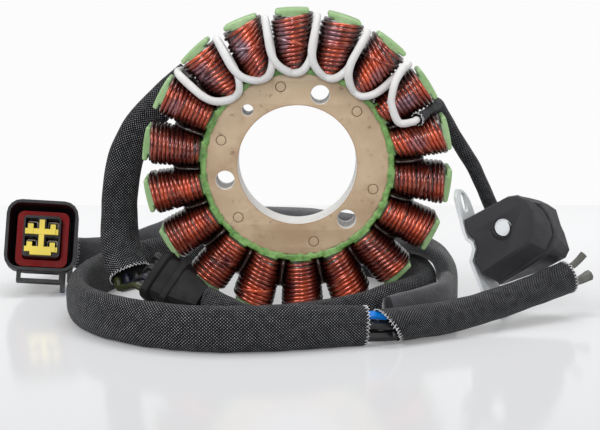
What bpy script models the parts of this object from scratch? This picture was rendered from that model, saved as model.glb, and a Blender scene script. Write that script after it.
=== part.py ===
"""A wound stator standing on its rim, with its lead harness, four-way connector and pulser.

Metres, +Z up. The stator's axis lies along Y at the height of its tip radius, its front faces -Y,
and the origin is on the floor under the middle of its core.
"""

from math import asin, cos, degrees, pi, radians, sin, sqrt

import bmesh
import bpy
from mathutils import Matrix, Vector

# Clearance that every pair of touching pieces keeps
SEAT_GAP = 0.0003
# How far a cutter starts before the face it opens
CUT_START = 0.002

# Laminated core
TIP_RADIUS = 0.055
BORE_RADIUS = 0.021
YOKE_RADIUS = 0.0342
BARE_RING_RADIUS = 0.032
CORE_DEPTH = 0.015
COAT_THICKNESS = 0.00035
TOOTH_COUNT = 18
FIRST_TOOTH_DEG = 92.0
NECK_WIDTH = 0.0075
CAP_WIDTH = 0.0124
CAP_THICKNESS = 0.0027
CAP_HEEL = 0.0004
CORE_EDGE_ROUND = 0.00045
BOLT_COUNT = 3
BOLT_FIRST_DEG = 72.0
BOLT_CIRCLE_RADIUS = 0.026
BOLT_HOLE_RADIUS = 0.0033
LOCATING_HOLE_DEG = 132.0
LOCATING_HOLE_RADIUS = 0.002
DIMPLE_COUNT = 6
DIMPLE_FIRST_DEG = 42.0
DIMPLE_CIRCLE_RADIUS = 0.0281
DIMPLE_RADIUS = 0.0018
DIMPLE_DEPTH = 0.00018

# Windings
WIRE_TURNS = 9
COIL_ROOT_GAP = 0.0004
COIL_ROOT_WIDTH = 0.0106
COIL_TIP_WIDTH = 0.0136
COIL_OVERHANG = 0.0044
COIL_ROOT_CORNER = 0.0034
COIL_CORNER = 0.0054
RIDGE_HEIGHT = 0.00045
TURN_SLANT = 0.0004

# White sleeved lead, laced round the roots of six coils. A row is degrees from the tooth, the way
# along the coil from its root, 0, to its cap, 1, and how far the lead lies in front of the coil's face
LEAD_TUBE_RADIUS = 0.0011
LEAD_TUBE_SPACING = 0.0046
LEAD_TUBE_STRAIGHT = 0.0020
LACED_TEETH = (132.0, 112.0, 92.0, 72.0, 52.0)
LACING_LOOP = (
    (10.4, 0.953, -0.00265),
    (10.7, 0.671, -0.00035),
    (10.9, 0.376, 0.00065),
    (9.5, 0.141, 0.00045),
    (5.5, -0.035, -0.00085),
    (0.5, -0.112, -0.00245),
    (-4.5, -0.082, -0.00135),
    (-7.9, 0.082, -0.00055),
    (-9.4, 0.288, -0.00145),
    (-9.6, 0.553, -0.00325),
    (-9.6, 0.818, -0.00475),
    (-9.6, 0.976, -0.00525),
    (-9.6, 1.047, -0.00405),
)
LACING_HOOK = (
    (11.0, 0.929, -0.00255),
    (10.2, 0.729, -0.00065),
    (8.9, 0.576, 0.00115),
    (5.5, 0.388, 0.00185),
    (2.3, 0.282, 0.00185),
    (-4.0, 0.218, 0.00175),
    (-8.0, 0.235, 0.00125),
    (-9.6, 0.329, 0.00135),
)
# Where the lead comes through from the back: degrees, way along the coil and share of its half depth
LACING_START_DEG = 142.3
LACING_START = ((0.847, -1.19), (1.012, -0.69), (1.071, 0.0), (1.059, 0.49))

# Braided sleeves: half height and half thickness of the flat ones, radius of the round ones
MAIN_HALF_HEIGHT = 0.0078
MAIN_HALF_THICK = 0.0042
BRANCH_HALF_HEIGHT = 0.0072
BRANCH_HALF_THICK = 0.0034
LEAD_HALF_WIDTH = 0.0066
LEAD_HALF_THICK = 0.0038
SPLIT_RADIUS = 0.00575
PULSER_LEAD_RADIUS = 0.0027
WIRE_RADIUS = 0.0014
THICK_WIRE_RADIUS = 0.0019
# Distances between the sampled points of each cord
MAIN_SPACING = 0.0125
BRANCH_SPACING = 0.0085
LEAD_SPACING = 0.0090
SPLIT_SPACING = 0.0110
PULSER_LEAD_SPACING = 0.0045
WIRE_SPACING = 0.0030
TAB_SPACING = 0.0025

# Lead ends beyond the split sleeve: name, height in its mouth, radius, then the way out, the way
# sideways, the rise and the size factor along each
END_TABS = (
    (
        "end_tab_upper",
        0.0030,
        0.0013,
        ((0.0, 0.0, 0.0, 1.0), (0.0032, -0.0004, 0.0010, 1.0), (0.0066, -0.0010, 0.0032, 1.1)),
    ),
    (
        "end_tab_lower",
        -0.0026,
        0.0016,
        ((0.0, 0.0, 0.0, 1.0), (0.0036, 0.0006, -0.0006, 1.0), (0.0086, 0.0010, -0.0002, 1.3)),
    ),
)

# Grommet
GROMMET_CENTRE = Vector((-0.0489, -0.0190, 0.0175))
GROMMET_AXIS = Vector((0.79, -0.55, -0.27)).normalized()
GROMMET_LONG = Vector((-0.53, -0.39, -0.75)).normalized()
FLANGE_LENGTH = 0.0190
FLANGE_DEPTH = 0.0110
FLANGE_THICKNESS = 0.0030
GROMMET_WAIST = 0.0052
GROMMET_TAIL = 0.0105
GROMMET_EDGE = 0.0004
GROMMET_POINTS = 16
# Below 1, the lower the squarer the grommet's outline
GROMMET_ROUNDNESS = 0.42
GROMMET_LENGTH = 2 * FLANGE_THICKNESS + GROMMET_WAIST + GROMMET_TAIL

# Connector
CONNECTOR_FRONT = Vector((-0.09674, 0.0310, 0.0226))
CONNECTOR_PITCH_DEG = -20.0
CONNECTOR_ROLL_DEG = 4.2
CONNECTOR_YAW_DEG = 5.0
SHELL_WIDTH = 0.0270
SHELL_DEPTH = 0.0240
SHELL_WALL = 0.0012
SHELL_CORNER = 0.0055
HOOD_DEPTH = 0.0070
SHOULDER_DEPTH = 0.0125
REAR_WIDTH = 0.0236
REAR_HEIGHT = 0.0250
REAR_WALL = 0.0014
COLLAR_DEPTH = 0.0168
COLLAR_TAPER = 0.0010
COLLAR_WIDTH = 0.0190
COLLAR_HEIGHT = 0.0186
COLLAR_CORNER = 0.0035
SHELL_CAVITY = 0.0150
CORE_BLOCK_WIDTH = 0.0140
CORE_BLOCK_HEIGHT = 0.0157
CORE_BLOCK_RECESS = 0.0022
CORE_BLOCK_CORNER = 0.0012
WAY_SIDE = 0.0048
WAY_PITCH_X = 0.0078
WAY_PITCH_Z = 0.0071
WAY_RAISE = 0.0009
WAY_DEPTH = 0.0200
SEAL_THICKNESS = 0.0028
SEAL_DEPTH = 0.0050
SEAL_SETBACK = 0.0006
SEAL_CORNER = 0.0026
SEAL_INNER_CORNER = 0.0014
TERMINAL_WALL = 0.0005
TERMINAL_LENGTH = 0.0110
TERMINAL_MIDDLE = 0.0135
TERMINAL_CORNER = 0.0006
TERMINAL_HOLE_CORNER = 0.0003
# Rectangles as left, right, low and high offsets from the shroud's centre
RETAINER_THICKNESS = 0.0013
RETAINER_STEP = 0.0001
RETAINER_BARS = (
    (-0.0010, 0.0010, -0.0068, 0.0061),
    (-0.0062, 0.0062, 0.0005, 0.0026),
    (-0.0062, 0.0062, -0.0062, -0.0043),
    (-0.0052, -0.0032, 0.0005, 0.0044),
    (0.0032, 0.0052, 0.0005, 0.0044),
    (-0.0053, -0.0033, -0.0062, -0.0026),
    (0.0033, 0.0053, -0.0062, -0.0026),
    (-0.0040, 0.0040, -0.0075, -0.0043),
)
LATCH_LOOP = (-0.0084, 0.0094, -0.0178, -0.0127)
LATCH_OPENING = (-0.0070, 0.0075, -0.0164, -0.0139)
LATCH_DEPTH = 0.0050
LATCH_MIDDLE = 0.0036
LATCH_LEG = (0.0081, 0.0099, -0.0208, -0.0127)
LATCH_FIN = (0.0105, 0.0124, -0.0168, -0.0110)
LATCH_LEG_DEPTH = 0.0034
CONNECTOR_WIRE_RADIUS = 0.0010
# How far each lead runs straight out of the connector, and straight into the sleeve
CONNECTOR_WIRE_STRAIGHT = (0.0012, 0.0050)
CONNECTOR_WIRE_ARRIVAL = (0.0040, 0.0012)
CONNECTOR_WIRE_COLOURS = ("black", "olive", "navy", "blue")
CONNECTOR_WIRE_SPREAD = ((0.0013, 0.0024), (-0.0013, 0.0024), (0.0013, -0.0024), (-0.0013, -0.0024))

# Pulser
PULSER_FOOT = Vector((0.0722, -0.0116, 0.0))
PULSER_YAW_DEG = -24.0
BRACKET_THICKNESS = 0.0012
PULSER_DEPTH = 0.0165
PULSER_ENTRY = (-0.0085, 0.0315)
POLE_CENTRE = (-0.0001, 0.0333)
POLE_RADIUS = 0.0034
POLE_RECESS = 0.0008
POLE_DEPTH = 0.0052
# Both halves keep this side along the bracket, from its foot up and over the sheet's bead
PULSER_BRACKET_SIDE = (
    (-0.0103, 0.0200),
    (-0.0097, 0.0217),
    (-0.0092, 0.0247),
    (-0.0103, 0.0280),
    (-0.0132, 0.0304),
    (-0.0145, 0.0349),
)
# The other sides at each half's front and back, as offsets from the foot
BODY_BACK = 0.00585
BODY_FRONT_SIDES = (
    (0.0015, 0.0446),
    (0.0051, 0.0454),
    (0.0083, 0.0442),
    (0.0106, 0.0408),
    (0.0119, 0.0360),
    (0.0116, 0.0322),
    (0.0100, 0.0289),
    (0.0016, 0.0226),
    (-0.0074, 0.0161),
)
BODY_BACK_SIDES = (
    (0.0015, 0.0432),
    (0.0053, 0.0436),
    (0.0090, 0.0422),
    (0.0132, 0.0394),
    (0.0160, 0.0352),
    (0.0170, 0.0310),
    (0.0146, 0.0252),
    (0.0060, 0.0186),
    (-0.0030, 0.0122),
)
COVER_FRONT_SIDES = (
    (0.0015, 0.0433),
    (0.0055, 0.0437),
    (0.0092, 0.0427),
    (0.0117, 0.0422),
    (0.0151, 0.0384),
    (0.0170, 0.0336),
    (0.0175, 0.0307),
    (0.0165, 0.0268),
    (0.0142, 0.0238),
    (0.0070, 0.0182),
    (-0.0028, 0.0113),
)
COVER_BACK_SIDES = (
    (0.0015, 0.0422),
    (0.0051, 0.0417),
    (0.0088, 0.0410),
    (0.0116, 0.0399),
    (0.0147, 0.0382),
    (0.0166, 0.0326),
    (0.0180, 0.0300),
    (0.0202, 0.0240),
    (0.0190, 0.0210),
    (0.0095, 0.0152),
    (-0.0045, 0.0092),
)
PULSER_EDGE = 0.0006
# The bent sheet's middle line, and its outline as depth and height
BRACKET_LINE = (
    (-0.0188, 0.0464),
    (-0.0143, 0.0303),
    (-0.0132, 0.0281),
    (-0.0113, 0.0269),
    (-0.0105, 0.0247),
    (-0.0111, 0.0222),
    (-0.0116, 0.0203),
    (-0.0071, 0.0100),
    (0.0000, 0.0005),
)
BRACKET_OUTLINE = (
    (-0.001, -0.002),
    (0.0175, -0.002),
    (0.0175, 0.0300),
    (0.0143, 0.0330),
    (0.0140, 0.0360),
    (0.0129, 0.0398),
    (0.0105, 0.0428),
    (0.0075, 0.0446),
    (0.0045, 0.0452),
    (0.0020, 0.0446),
    (0.0005, 0.0432),
    (-0.001, 0.0412),
)
SLOT_CENTRE = (0.0066, 0.0402)
SLOT_HALF_HEIGHT = 0.0036
SLOT_HALF_WIDTH = 0.0027
# Lengths of the sideways cutters that shape the bracket and open its slot
BRACKET_BLANK_WIDTH = 0.04
SLOT_CUT_LENGTH = 0.006

AXIS_HEIGHT = TIP_RADIUS
HALF_CORE = CORE_DEPTH / 2 + COAT_THICKNESS
CAP_UNDERSIDE = TIP_RADIUS - CAP_THICKNESS - CAP_HEEL
COIL_INNER_RADIUS = YOKE_RADIUS + COIL_ROOT_GAP
COIL_OUTER_RADIUS = CAP_UNDERSIDE - SEAT_GAP
COIL_HALF_DEPTH = HALF_CORE + COIL_OVERHANG
TOOTH_PITCH_DEG = 360 / TOOTH_COUNT
PARTS = "wound_stator"
HELPERS = "wound_stator_cutters"


def clear_scene():
    for obj in list(bpy.data.objects):
        bpy.data.objects.remove(obj, do_unlink=True)
    for name in (PARTS, HELPERS):
        group = bpy.data.collections.new(name)
        bpy.context.scene.collection.children.link(group)


def finish_material(name, colour, roughness, metallic=0.0):
    made = bpy.data.materials.new(name)
    made.use_nodes = True
    shader = made.node_tree.nodes["Principled BSDF"]
    shader.inputs["Base Color"].default_value = (*colour, 1.0)
    shader.inputs["Roughness"].default_value = roughness
    shader.inputs["Metallic"].default_value = metallic
    return made


def place(name, data, material, group=PARTS):
    obj = bpy.data.objects.new(name, data)
    bpy.data.collections[group].objects.link(obj)
    if material:
        data.materials.append(material)
    return obj


def helper(obj):
    obj.hide_render = True
    obj.display_type = "WIRE"
    return obj


def flat_outline(name, loops, depth, group=PARTS, material=None):
    """A filled 2D curve with its holes, extruded both ways, standing in the XZ plane."""
    curve = bpy.data.curves.new(name, "CURVE")
    curve.dimensions = "2D"
    curve.fill_mode = "BOTH"
    curve.extrude = depth / 2
    for loop in loops:
        spline = curve.splines.new("POLY")
        spline.points.add(len(loop) - 1)
        for point, (x, z) in zip(spline.points, loop):
            point.co = (x, z, 0, 1)
        spline.use_cyclic_u = True
    obj = place(name, curve, material, group)
    obj.rotation_euler = (pi / 2, 0, 0)
    return obj


def as_mesh(obj):
    """The object's evaluated shape as a welded mesh object of the same name and place."""
    bpy.context.view_layer.update()
    graph = bpy.context.evaluated_depsgraph_get()
    mesh = bpy.data.meshes.new_from_object(obj.evaluated_get(graph))
    work = bmesh.new()
    work.from_mesh(mesh)
    bmesh.ops.remove_doubles(work, verts=work.verts, dist=0.00001)
    bmesh.ops.recalc_face_normals(work, faces=work.faces)
    work.to_mesh(mesh)
    work.free()
    name = obj.name
    group = obj.users_collection[0]
    parent = obj.parent
    matrix = obj.matrix_world.copy()
    bpy.data.objects.remove(obj, do_unlink=True)
    made = bpy.data.objects.new(name, mesh)
    group.objects.link(made)
    made.parent = parent
    made.matrix_world = matrix
    return made


def mesh_from(name, verts, faces, material, group=PARTS):
    work = bmesh.new()
    points = [work.verts.new(v) for v in verts]
    for face in faces:
        work.faces.new([points[i] for i in face])
    bmesh.ops.recalc_face_normals(work, faces=work.faces)
    mesh = bpy.data.meshes.new(name)
    work.to_mesh(mesh)
    work.free()
    return place(name, mesh, material, group)


def loft(name, rings, material, group=PARTS):
    """A closed solid through rings of equally many points, capped at both ends."""
    count = len(rings[0])
    faces = [list(range(count)), [len(rings) * count - 1 - i for i in range(count)]]
    for row in range(len(rings) - 1):
        for i in range(count):
            j = (i + 1) % count
            low = row * count
            faces.append([low + i, low + j, low + count + j, low + count + i])
    return mesh_from(name, [p for ring in rings for p in ring], faces, material, group)


def boolean(obj, cutter, operation="DIFFERENCE", solver="EXACT"):
    step = obj.modifiers.new(f"{operation.lower()}_{cutter.name}", "BOOLEAN")
    step.operation = operation
    step.object = cutter
    step.solver = solver
    return obj


def bevel(obj, width, segments=1, angle=40.0):
    step = obj.modifiers.new("edge_round", "BEVEL")
    step.width = width
    step.segments = segments
    step.limit_method = "ANGLE"
    step.angle_limit = radians(angle)
    return obj


def shade_round(obj, angle=35.0):
    obj.data.shade_smooth()
    obj.data.set_sharp_from_angle(angle=radians(angle))
    return obj


def cylinder(name, radius, y_low, y_high, centre, segments=32, group=HELPERS):
    """A round bar along Y between two depths, about a centre given as x and z."""
    work = bmesh.new()
    bmesh.ops.create_cone(
        work,
        cap_ends=True,
        segments=segments,
        radius1=radius,
        radius2=radius,
        depth=y_high - y_low,
        matrix=Matrix.Translation((centre[0], (y_low + y_high) / 2, centre[1]))
        @ Matrix.Rotation(pi / 2, 4, "X"),
    )
    mesh = bpy.data.meshes.new(name)
    work.to_mesh(mesh)
    work.free()
    return place(name, mesh, None, group)


def polar(radius, degrees_, height=AXIS_HEIGHT):
    """A point of the stator's face, as x and z, from its radius and angle."""
    return radius * cos(radians(degrees_)), height + radius * sin(radians(degrees_))


def circle(radius, centre, count):
    turns = [2 * pi * i / count for i in range(count)]
    return [(centre[0] + radius * cos(turn), centre[1] + radius * sin(turn)) for turn in turns]


def tooth_degrees():
    return [FIRST_TOOTH_DEG + TOOTH_PITCH_DEG * i for i in range(TOOTH_COUNT)]


def core_outline():
    """The yoke with its T-shaped teeth, counter-clockwise, in stator coordinates."""
    points = []
    neck = NECK_WIDTH / 2
    cap = CAP_WIDTH / 2
    root = sqrt(YOKE_RADIUS**2 - neck**2)
    under = TIP_RADIUS - CAP_THICKNESS
    shoulder = sqrt(TIP_RADIUS**2 - cap**2)
    arc = degrees(asin(cap / TIP_RADIUS))
    for angle in sorted(tooth_degrees()):
        right = radians(angle)
        for radial, side in ((root, -neck), (under, -neck), (under - CAP_HEEL, -cap), (shoulder, -cap)):
            points.append((radial, side, right))
        for share in (-0.5, 0.0, 0.5):
            turn = radians(arc * share)
            points.append((TIP_RADIUS * cos(turn), TIP_RADIUS * sin(turn), right))
        for radial, side in ((shoulder, cap), (under - CAP_HEEL, cap), (under, neck), (root, neck)):
            points.append((radial, side, right))
        points.append((YOKE_RADIUS, 0.0, radians(angle + TOOTH_PITCH_DEG / 2)))
    return [
        (r * cos(a) - s * sin(a), AXIS_HEIGHT + r * sin(a) + s * cos(a))
        for r, s, a in points
    ]


def make_core(material):
    axis = (0.0, AXIS_HEIGHT)
    loops = [core_outline(), circle(BORE_RADIUS, axis, 48)]
    for i in range(BOLT_COUNT):
        centre = polar(BOLT_CIRCLE_RADIUS, BOLT_FIRST_DEG + 360 / BOLT_COUNT * i)
        loops.append(circle(BOLT_HOLE_RADIUS, centre, 18))
    loops.append(circle(LOCATING_HOLE_RADIUS, polar(BOLT_CIRCLE_RADIUS, LOCATING_HOLE_DEG), 14))
    core = as_mesh(flat_outline("stator_core", loops, 2 * HALF_CORE))
    core.data.materials.append(material)
    bevel(core, CORE_EDGE_ROUND)
    bare = HALF_CORE - COAT_THICKNESS
    for side, low, high in (("front", -HALF_CORE - CUT_START, -bare), ("back", bare, HALF_CORE + CUT_START)):
        ring = cylinder(f"bare_ring_{side}", BARE_RING_RADIUS, low, high, axis, 60)
        boolean(core, helper(ring), solver="MANIFOLD")
    for i in range(DIMPLE_COUNT):
        centre = polar(DIMPLE_CIRCLE_RADIUS, DIMPLE_FIRST_DEG + 360 / DIMPLE_COUNT * i)
        low = -bare - CUT_START
        dimple = cylinder(f"dimple_{i + 1}", DIMPLE_RADIUS, low, -bare + DIMPLE_DEPTH, centre, 10)
        boolean(core, helper(dimple), solver="MANIFOLD")
    return shade_round(core)


def coil_section(half_width, half_depth, corner):
    """Eight points round a winding, as sideways and fore-and-aft offsets from the tooth."""
    points = []
    for quarter in range(4):
        across = 1 if quarter in (0, 3) else -1
        along = 1 if quarter in (0, 1) else -1
        for share in (0.25, 0.75):
            turn = pi / 2 * (quarter + share)
            x = across * (half_width - corner) + corner * cos(turn)
            y = along * (half_depth - corner) + corner * sin(turn)
            points.append((x, y))
    return points


def coil_half_width(share):
    """Half the winding's width from the tooth's root, 0, to its cap, 1."""
    grown = COIL_ROOT_WIDTH + (COIL_TIP_WIDTH - COIL_ROOT_WIDTH) * min(1.0, 1.25 * share) ** 0.75
    return grown / 2


def coil_mesh():
    """One winding on a tooth that points up, its turns shown as ridges."""
    rows = 2 * WIRE_TURNS
    length = COIL_OUTER_RADIUS - COIL_INNER_RADIUS
    verts = []
    for row in range(rows + 1):
        share = row / rows
        sunk = RIDGE_HEIGHT if row % 2 == 0 else 0.0
        half_width = coil_half_width(share) - sunk
        lift = min(1.0, 0.62 + share * 4.5) if share < 0.1 else 1.0
        half_depth = HALF_CORE + COIL_OVERHANG * lift - sunk
        radial = COIL_INNER_RADIUS + length * share
        slant = TURN_SLANT if 0 < row < rows else 0.0
        corner = COIL_ROOT_CORNER + (COIL_CORNER - COIL_ROOT_CORNER) * min(1.0, 9 * share)
        for x, y in coil_section(half_width, half_depth, corner - sunk):
            verts.append((x, y, radial + slant * x / half_width))
    count = 8
    faces = []
    for row in range(rows):
        for i in range(count):
            j = (i + 1) % count
            low = row * count
            faces.append([low + i, low + j, low + count + j, low + count + i])
    across = NECK_WIDTH / 2 + SEAT_GAP
    along = HALF_CORE + SEAT_GAP
    for end, radial in ((0, COIL_INNER_RADIUS), (rows, COIL_OUTER_RADIUS)):
        first = len(verts)
        for x, y in ((across, along), (-across, along), (-across, -along), (across, -along)):
            verts.append((x, y, radial))
        for quarter in range(4):
            a = end * count + 2 * quarter
            following = (quarter + 1) % 4
            faces.append([a, a + 1, first + quarter])
            b = end * count + (2 * quarter + 2) % count
            faces.append([a + 1, b, first + following, first + quarter])
    inner = (rows + 1) * count
    for quarter in range(4):
        following = (quarter + 1) % 4
        faces.append([inner + quarter, inner + following, inner + 4 + following, inner + 4 + quarter])
    work = bmesh.new()
    points = [work.verts.new(v) for v in verts]
    for face in faces:
        work.faces.new([points[i] for i in face])
    bmesh.ops.recalc_face_normals(work, faces=work.faces)
    mesh = bpy.data.meshes.new("coil")
    work.to_mesh(mesh)
    work.free()
    mesh.shade_smooth()
    return mesh


def make_coils(material):
    mesh = coil_mesh()
    mesh.materials.append(material)
    for number, angle in enumerate(tooth_degrees(), 1):
        coil = place(f"coil_{number:02d}", mesh, None)
        coil.location = (0, 0, AXIS_HEIGHT)
        coil.rotation_euler = (0, radians(90 - angle), 0)


def smooth_path(route, spacing):
    """Rows read at even spacing from a smooth curve through the route's own rows."""
    rows = [Vector(row) for row in route]
    ends = [rows[0] * 2 - rows[1], *rows, rows[-1] * 2 - rows[-2]]
    fine = []
    for before, start, end, after in zip(ends, ends[1:], ends[2:], ends[3:]):
        for step in range(16):
            t = step / 16
            fine.append(
                0.5
                * (
                    2 * start
                    + (end - before) * t
                    + (2 * before - 5 * start + 4 * end - after) * t**2
                    + (3 * start - before - 3 * end + after) * t**3
                )
            )
    fine.append(rows[-1])
    travelled = [0.0]
    for a, b in zip(fine, fine[1:]):
        travelled.append(travelled[-1] + (b.xyz - a.xyz).length)
    count = max(2, round(travelled[-1] / spacing))
    picked = []
    at = 0
    for i in range(count + 1):
        wanted = travelled[-1] * i / count
        while at < len(fine) - 2 and travelled[at + 1] < wanted:
            at += 1
        span = travelled[at + 1] - travelled[at]
        share = (wanted - travelled[at]) / span if span else 0.0
        picked.append(fine[at].lerp(fine[at + 1], min(1.0, share)))
    return picked


def tube(name, rows, material, radius=None, section=None, resolution=2, twist="Z_UP"):
    """A cord as a poly curve. A row is x, y, z, then its size factor and roll where it has them."""
    curve = bpy.data.curves.new(name, "CURVE")
    curve.dimensions = "3D"
    curve.use_fill_caps = True
    curve.twist_mode = twist
    if section:
        curve.bevel_mode = "OBJECT"
        curve.bevel_object = section
    else:
        curve.bevel_depth = radius
        curve.bevel_resolution = resolution
    spline = curve.splines.new("POLY")
    spline.points.add(len(rows) - 1)
    for point, row in zip(spline.points, rows):
        point.co = (*row[:3], 1)
        point.radius = row[3] if len(row) > 3 else 1.0
        point.tilt = radians(row[4]) if len(row) > 4 else 0.0
    spline.use_smooth = True
    return place(name, curve, material)


def oval_section(name, half_up, half_across, count=12):
    """The outline that a flat sleeve is swept from, its height along the curve's own Y."""
    curve = bpy.data.curves.new(name, "CURVE")
    curve.dimensions = "2D"
    spline = curve.splines.new("POLY")
    spline.points.add(count - 1)
    for i, point in enumerate(spline.points):
        turn = -2 * pi * (i + 0.5) / count
        point.co = (half_across * cos(turn), half_up * sin(turn), 0, 1)
    spline.use_cyclic_u = True
    return helper(place(name, curve, None, HELPERS))


# Routes: x, y, z in metres, then a size factor and a roll in degrees where the sleeve has them
MAIN_ROUTE = (
    (-0.0292, -0.0326, 0.0107, 0.70, 0),
    (-0.0240, -0.0362, 0.0088, 0.70, 0),
    (-0.0150, -0.0392, 0.0060, 0.73, 0),
    (-0.0030, -0.0395, 0.0063, 0.78, 0),
    (0.0100, -0.0368, 0.0068, 0.84, 0),
    (0.0220, -0.0315, 0.0073, 0.92, 0),
    (0.0310, -0.0240, 0.0080, 1.0, 0),
    (0.0394, -0.0134, 0.0080, 1.0, 0),
    (0.0455, -0.0010, 0.0080, 1.0, 0),
    (0.0470, 0.0130, 0.0080, 1.0, 0),
    (0.0453, 0.0280, 0.0080, 1.0, 0),
    (0.0400, 0.0440, 0.0080, 1.0, 0),
    (0.0300, 0.0590, 0.0080, 1.0, 0),
    (0.0165, 0.0710, 0.0080, 1.0, 0),
    (0.0000, 0.0780, 0.0080, 1.0, 0),
    (-0.0180, 0.0795, 0.0080, 1.0, 0),
    (-0.0360, 0.0750, 0.0080, 1.0, 0),
    (-0.0520, 0.0655, 0.0080, 1.0, 0),
    (-0.0645, 0.0510, 0.0080, 1.0, 0),
    (-0.0730, 0.0335, 0.0080, 1.0, 0),
    (-0.0775, 0.0140, 0.0080, 1.0, 0),
    (-0.0784, -0.0030, 0.0080, 1.0, 0),
    (-0.0768, -0.0160, 0.0080, 1.0, 0),
    (-0.0715, -0.0290, 0.0080, 1.0, 0),
    (-0.0625, -0.0405, 0.0080, 1.0, 0),
    (-0.0495, -0.0505, 0.0080, 1.0, 0),
    (-0.0335, -0.0568, 0.0080, 1.0, 0),
    (-0.0160, -0.0575, 0.0080, 1.0, 0),
    (0.0000, -0.0545, 0.0079, 0.99, 0),
    (0.0120, -0.0512, 0.0073, 0.92, 0),
    (0.0227, -0.0481, 0.0069, 0.86, 0),
)
CONNECTOR_ROUTE = (
    (0.0308, -0.0348, 0.0073, 0.92, 0),
    (0.0360, -0.0306, 0.0074, 0.96, 0),
    (0.0426, -0.0248, 0.0074, 1.0, 0),
    (0.0492, -0.0152, 0.0074, 1.0, 0),
    (0.0532, -0.0055, 0.0077, 1.0, -3),
    (0.0545, 0.0030, 0.0092, 0.97, -14),
    (0.0537, 0.0100, 0.0157, 0.92, -48),
    (0.0502, 0.0175, 0.0190, 0.90, -76),
    (0.0456, 0.0260, 0.0198, 0.94, -90),
    (0.0418, 0.0375, 0.0199, 1.0, -90),
    (0.0360, 0.0500, 0.0199, 1.0, -90),
    (0.0280, 0.0630, 0.0199, 1.0, -90),
    (0.0160, 0.0738, 0.0203, 1.05, -90),
    (0.0000, 0.0790, 0.0210, 1.12, -90),
    (-0.0180, 0.0805, 0.0210, 1.12, -90),
    (-0.0320, 0.0822, 0.0201, 1.05, -94),
    (-0.0450, 0.0832, 0.0163, 1.0, -120),
    (-0.0570, 0.0790, 0.0112, 1.0, -155),
    (-0.0675, 0.0745, 0.0082, 1.0, -175),
    (-0.0770, 0.0710, 0.0076, 0.96, -180),
    (-0.0850, 0.0695, 0.0080, 0.90, -180),
    (-0.0888, 0.0686, 0.0084, 0.88, -180),
)
LEAD_ROUTE = (
    (-0.0390, 0.0178, 0.0846, 0.80, 0),
    (-0.0447, 0.0180, 0.0794, 0.86, 0),
    (-0.0519, 0.0176, 0.0718, 0.94, 0),
    (-0.0580, 0.0166, 0.0640, 1.0, 0),
    (-0.0624, 0.0155, 0.0550, 1.0, 0),
    (-0.0645, 0.0148, 0.0450, 1.0, 0),
    (-0.0652, 0.0140, 0.0350, 1.02, 0),
    (-0.0650, 0.0122, 0.0255, 1.08, 0),
    (-0.0633, 0.0080, 0.0180, 1.14, 0),
    (-0.0605, 0.0030, 0.0135, 1.16, 0),
)
SPLIT_ROUTE = (
    (0.0313, -0.0454, 0.0064, 1.0),
    (0.0400, -0.0408, 0.0064, 1.0),
    (0.0520, -0.0340, 0.0066, 0.98),
    (0.0650, -0.0258, 0.0080, 0.95),
    (0.0780, -0.0177, 0.0103, 0.95),
    (0.0880, -0.0113, 0.0125, 0.98),
    (0.0960, -0.0064, 0.0144, 1.02),
)
PULSER_LEAD_ROUTE = (
    (0.0416, -0.0126, 0.0717, 0.88),
    (0.0436, -0.0100, 0.0726, 0.78),
    (0.0457, -0.0055, 0.0735, 0.56),
    (0.0476, -0.0008, 0.0742, 0.66),
    (0.0490, 0.0042, 0.0748, 0.84),
    (0.0498, 0.0090, 0.0748, 0.94),
    (0.0512, 0.0124, 0.0727, 1.0),
    (0.0535, 0.0138, 0.0688, 1.0),
    (0.0565, 0.0140, 0.0635, 1.0),
    (0.0603, 0.0136, 0.0575, 1.0),
    (0.0640, 0.0132, 0.0515, 1.0),
    (0.0672, 0.0130, 0.0450, 1.0),
    (0.0700, 0.0128, 0.0385, 1.0),
    (0.0721, 0.0115, 0.0338, 1.0),
    (0.0725, 0.0099, 0.0316, 1.0),
)


def lead_tube_rows(pulser_rows):
    """The laced lead: down each gap, round the coil's root, up the next gap and back over itself."""
    route = [
        lacing_point(LACING_START_DEG, along, share * COIL_HALF_DEPTH - COIL_HALF_DEPTH)
        for along, share in LACING_START
    ]
    for tooth in LACED_TEETH:
        route += [lacing_point(tooth + turn, along, lift) for turn, along, lift in LACING_LOOP]
    last = LACED_TEETH[-1] - TOOTH_PITCH_DEG
    route += [lacing_point(last + turn, along, lift) for turn, along, lift in LACING_HOOK]
    mouth, way = beyond(pulser_rows, False)
    return [*smooth_path([*route, tuple(mouth + way * LEAD_TUBE_STRAIGHT)], LEAD_TUBE_SPACING), mouth]


def lacing_point(angle, along, lift):
    """A point of the lead from its angle, its way along the coils and its lift off their front."""
    x, z = polar(COIL_INNER_RADIUS + (COIL_OUTER_RADIUS - COIL_INNER_RADIUS) * along, angle)
    return x, -COIL_HALF_DEPTH - lift, z


def beyond(rows, at_end):
    """The point that lies the seating gap past a sleeve's end, and the way out of it."""
    tip, inner = (rows[-1], rows[-2]) if at_end else (rows[0], rows[1])
    way = (Vector(tip[:3]) - Vector(inner[:3])).normalized()
    return Vector(tip[:3]) + way * SEAT_GAP, way


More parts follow.
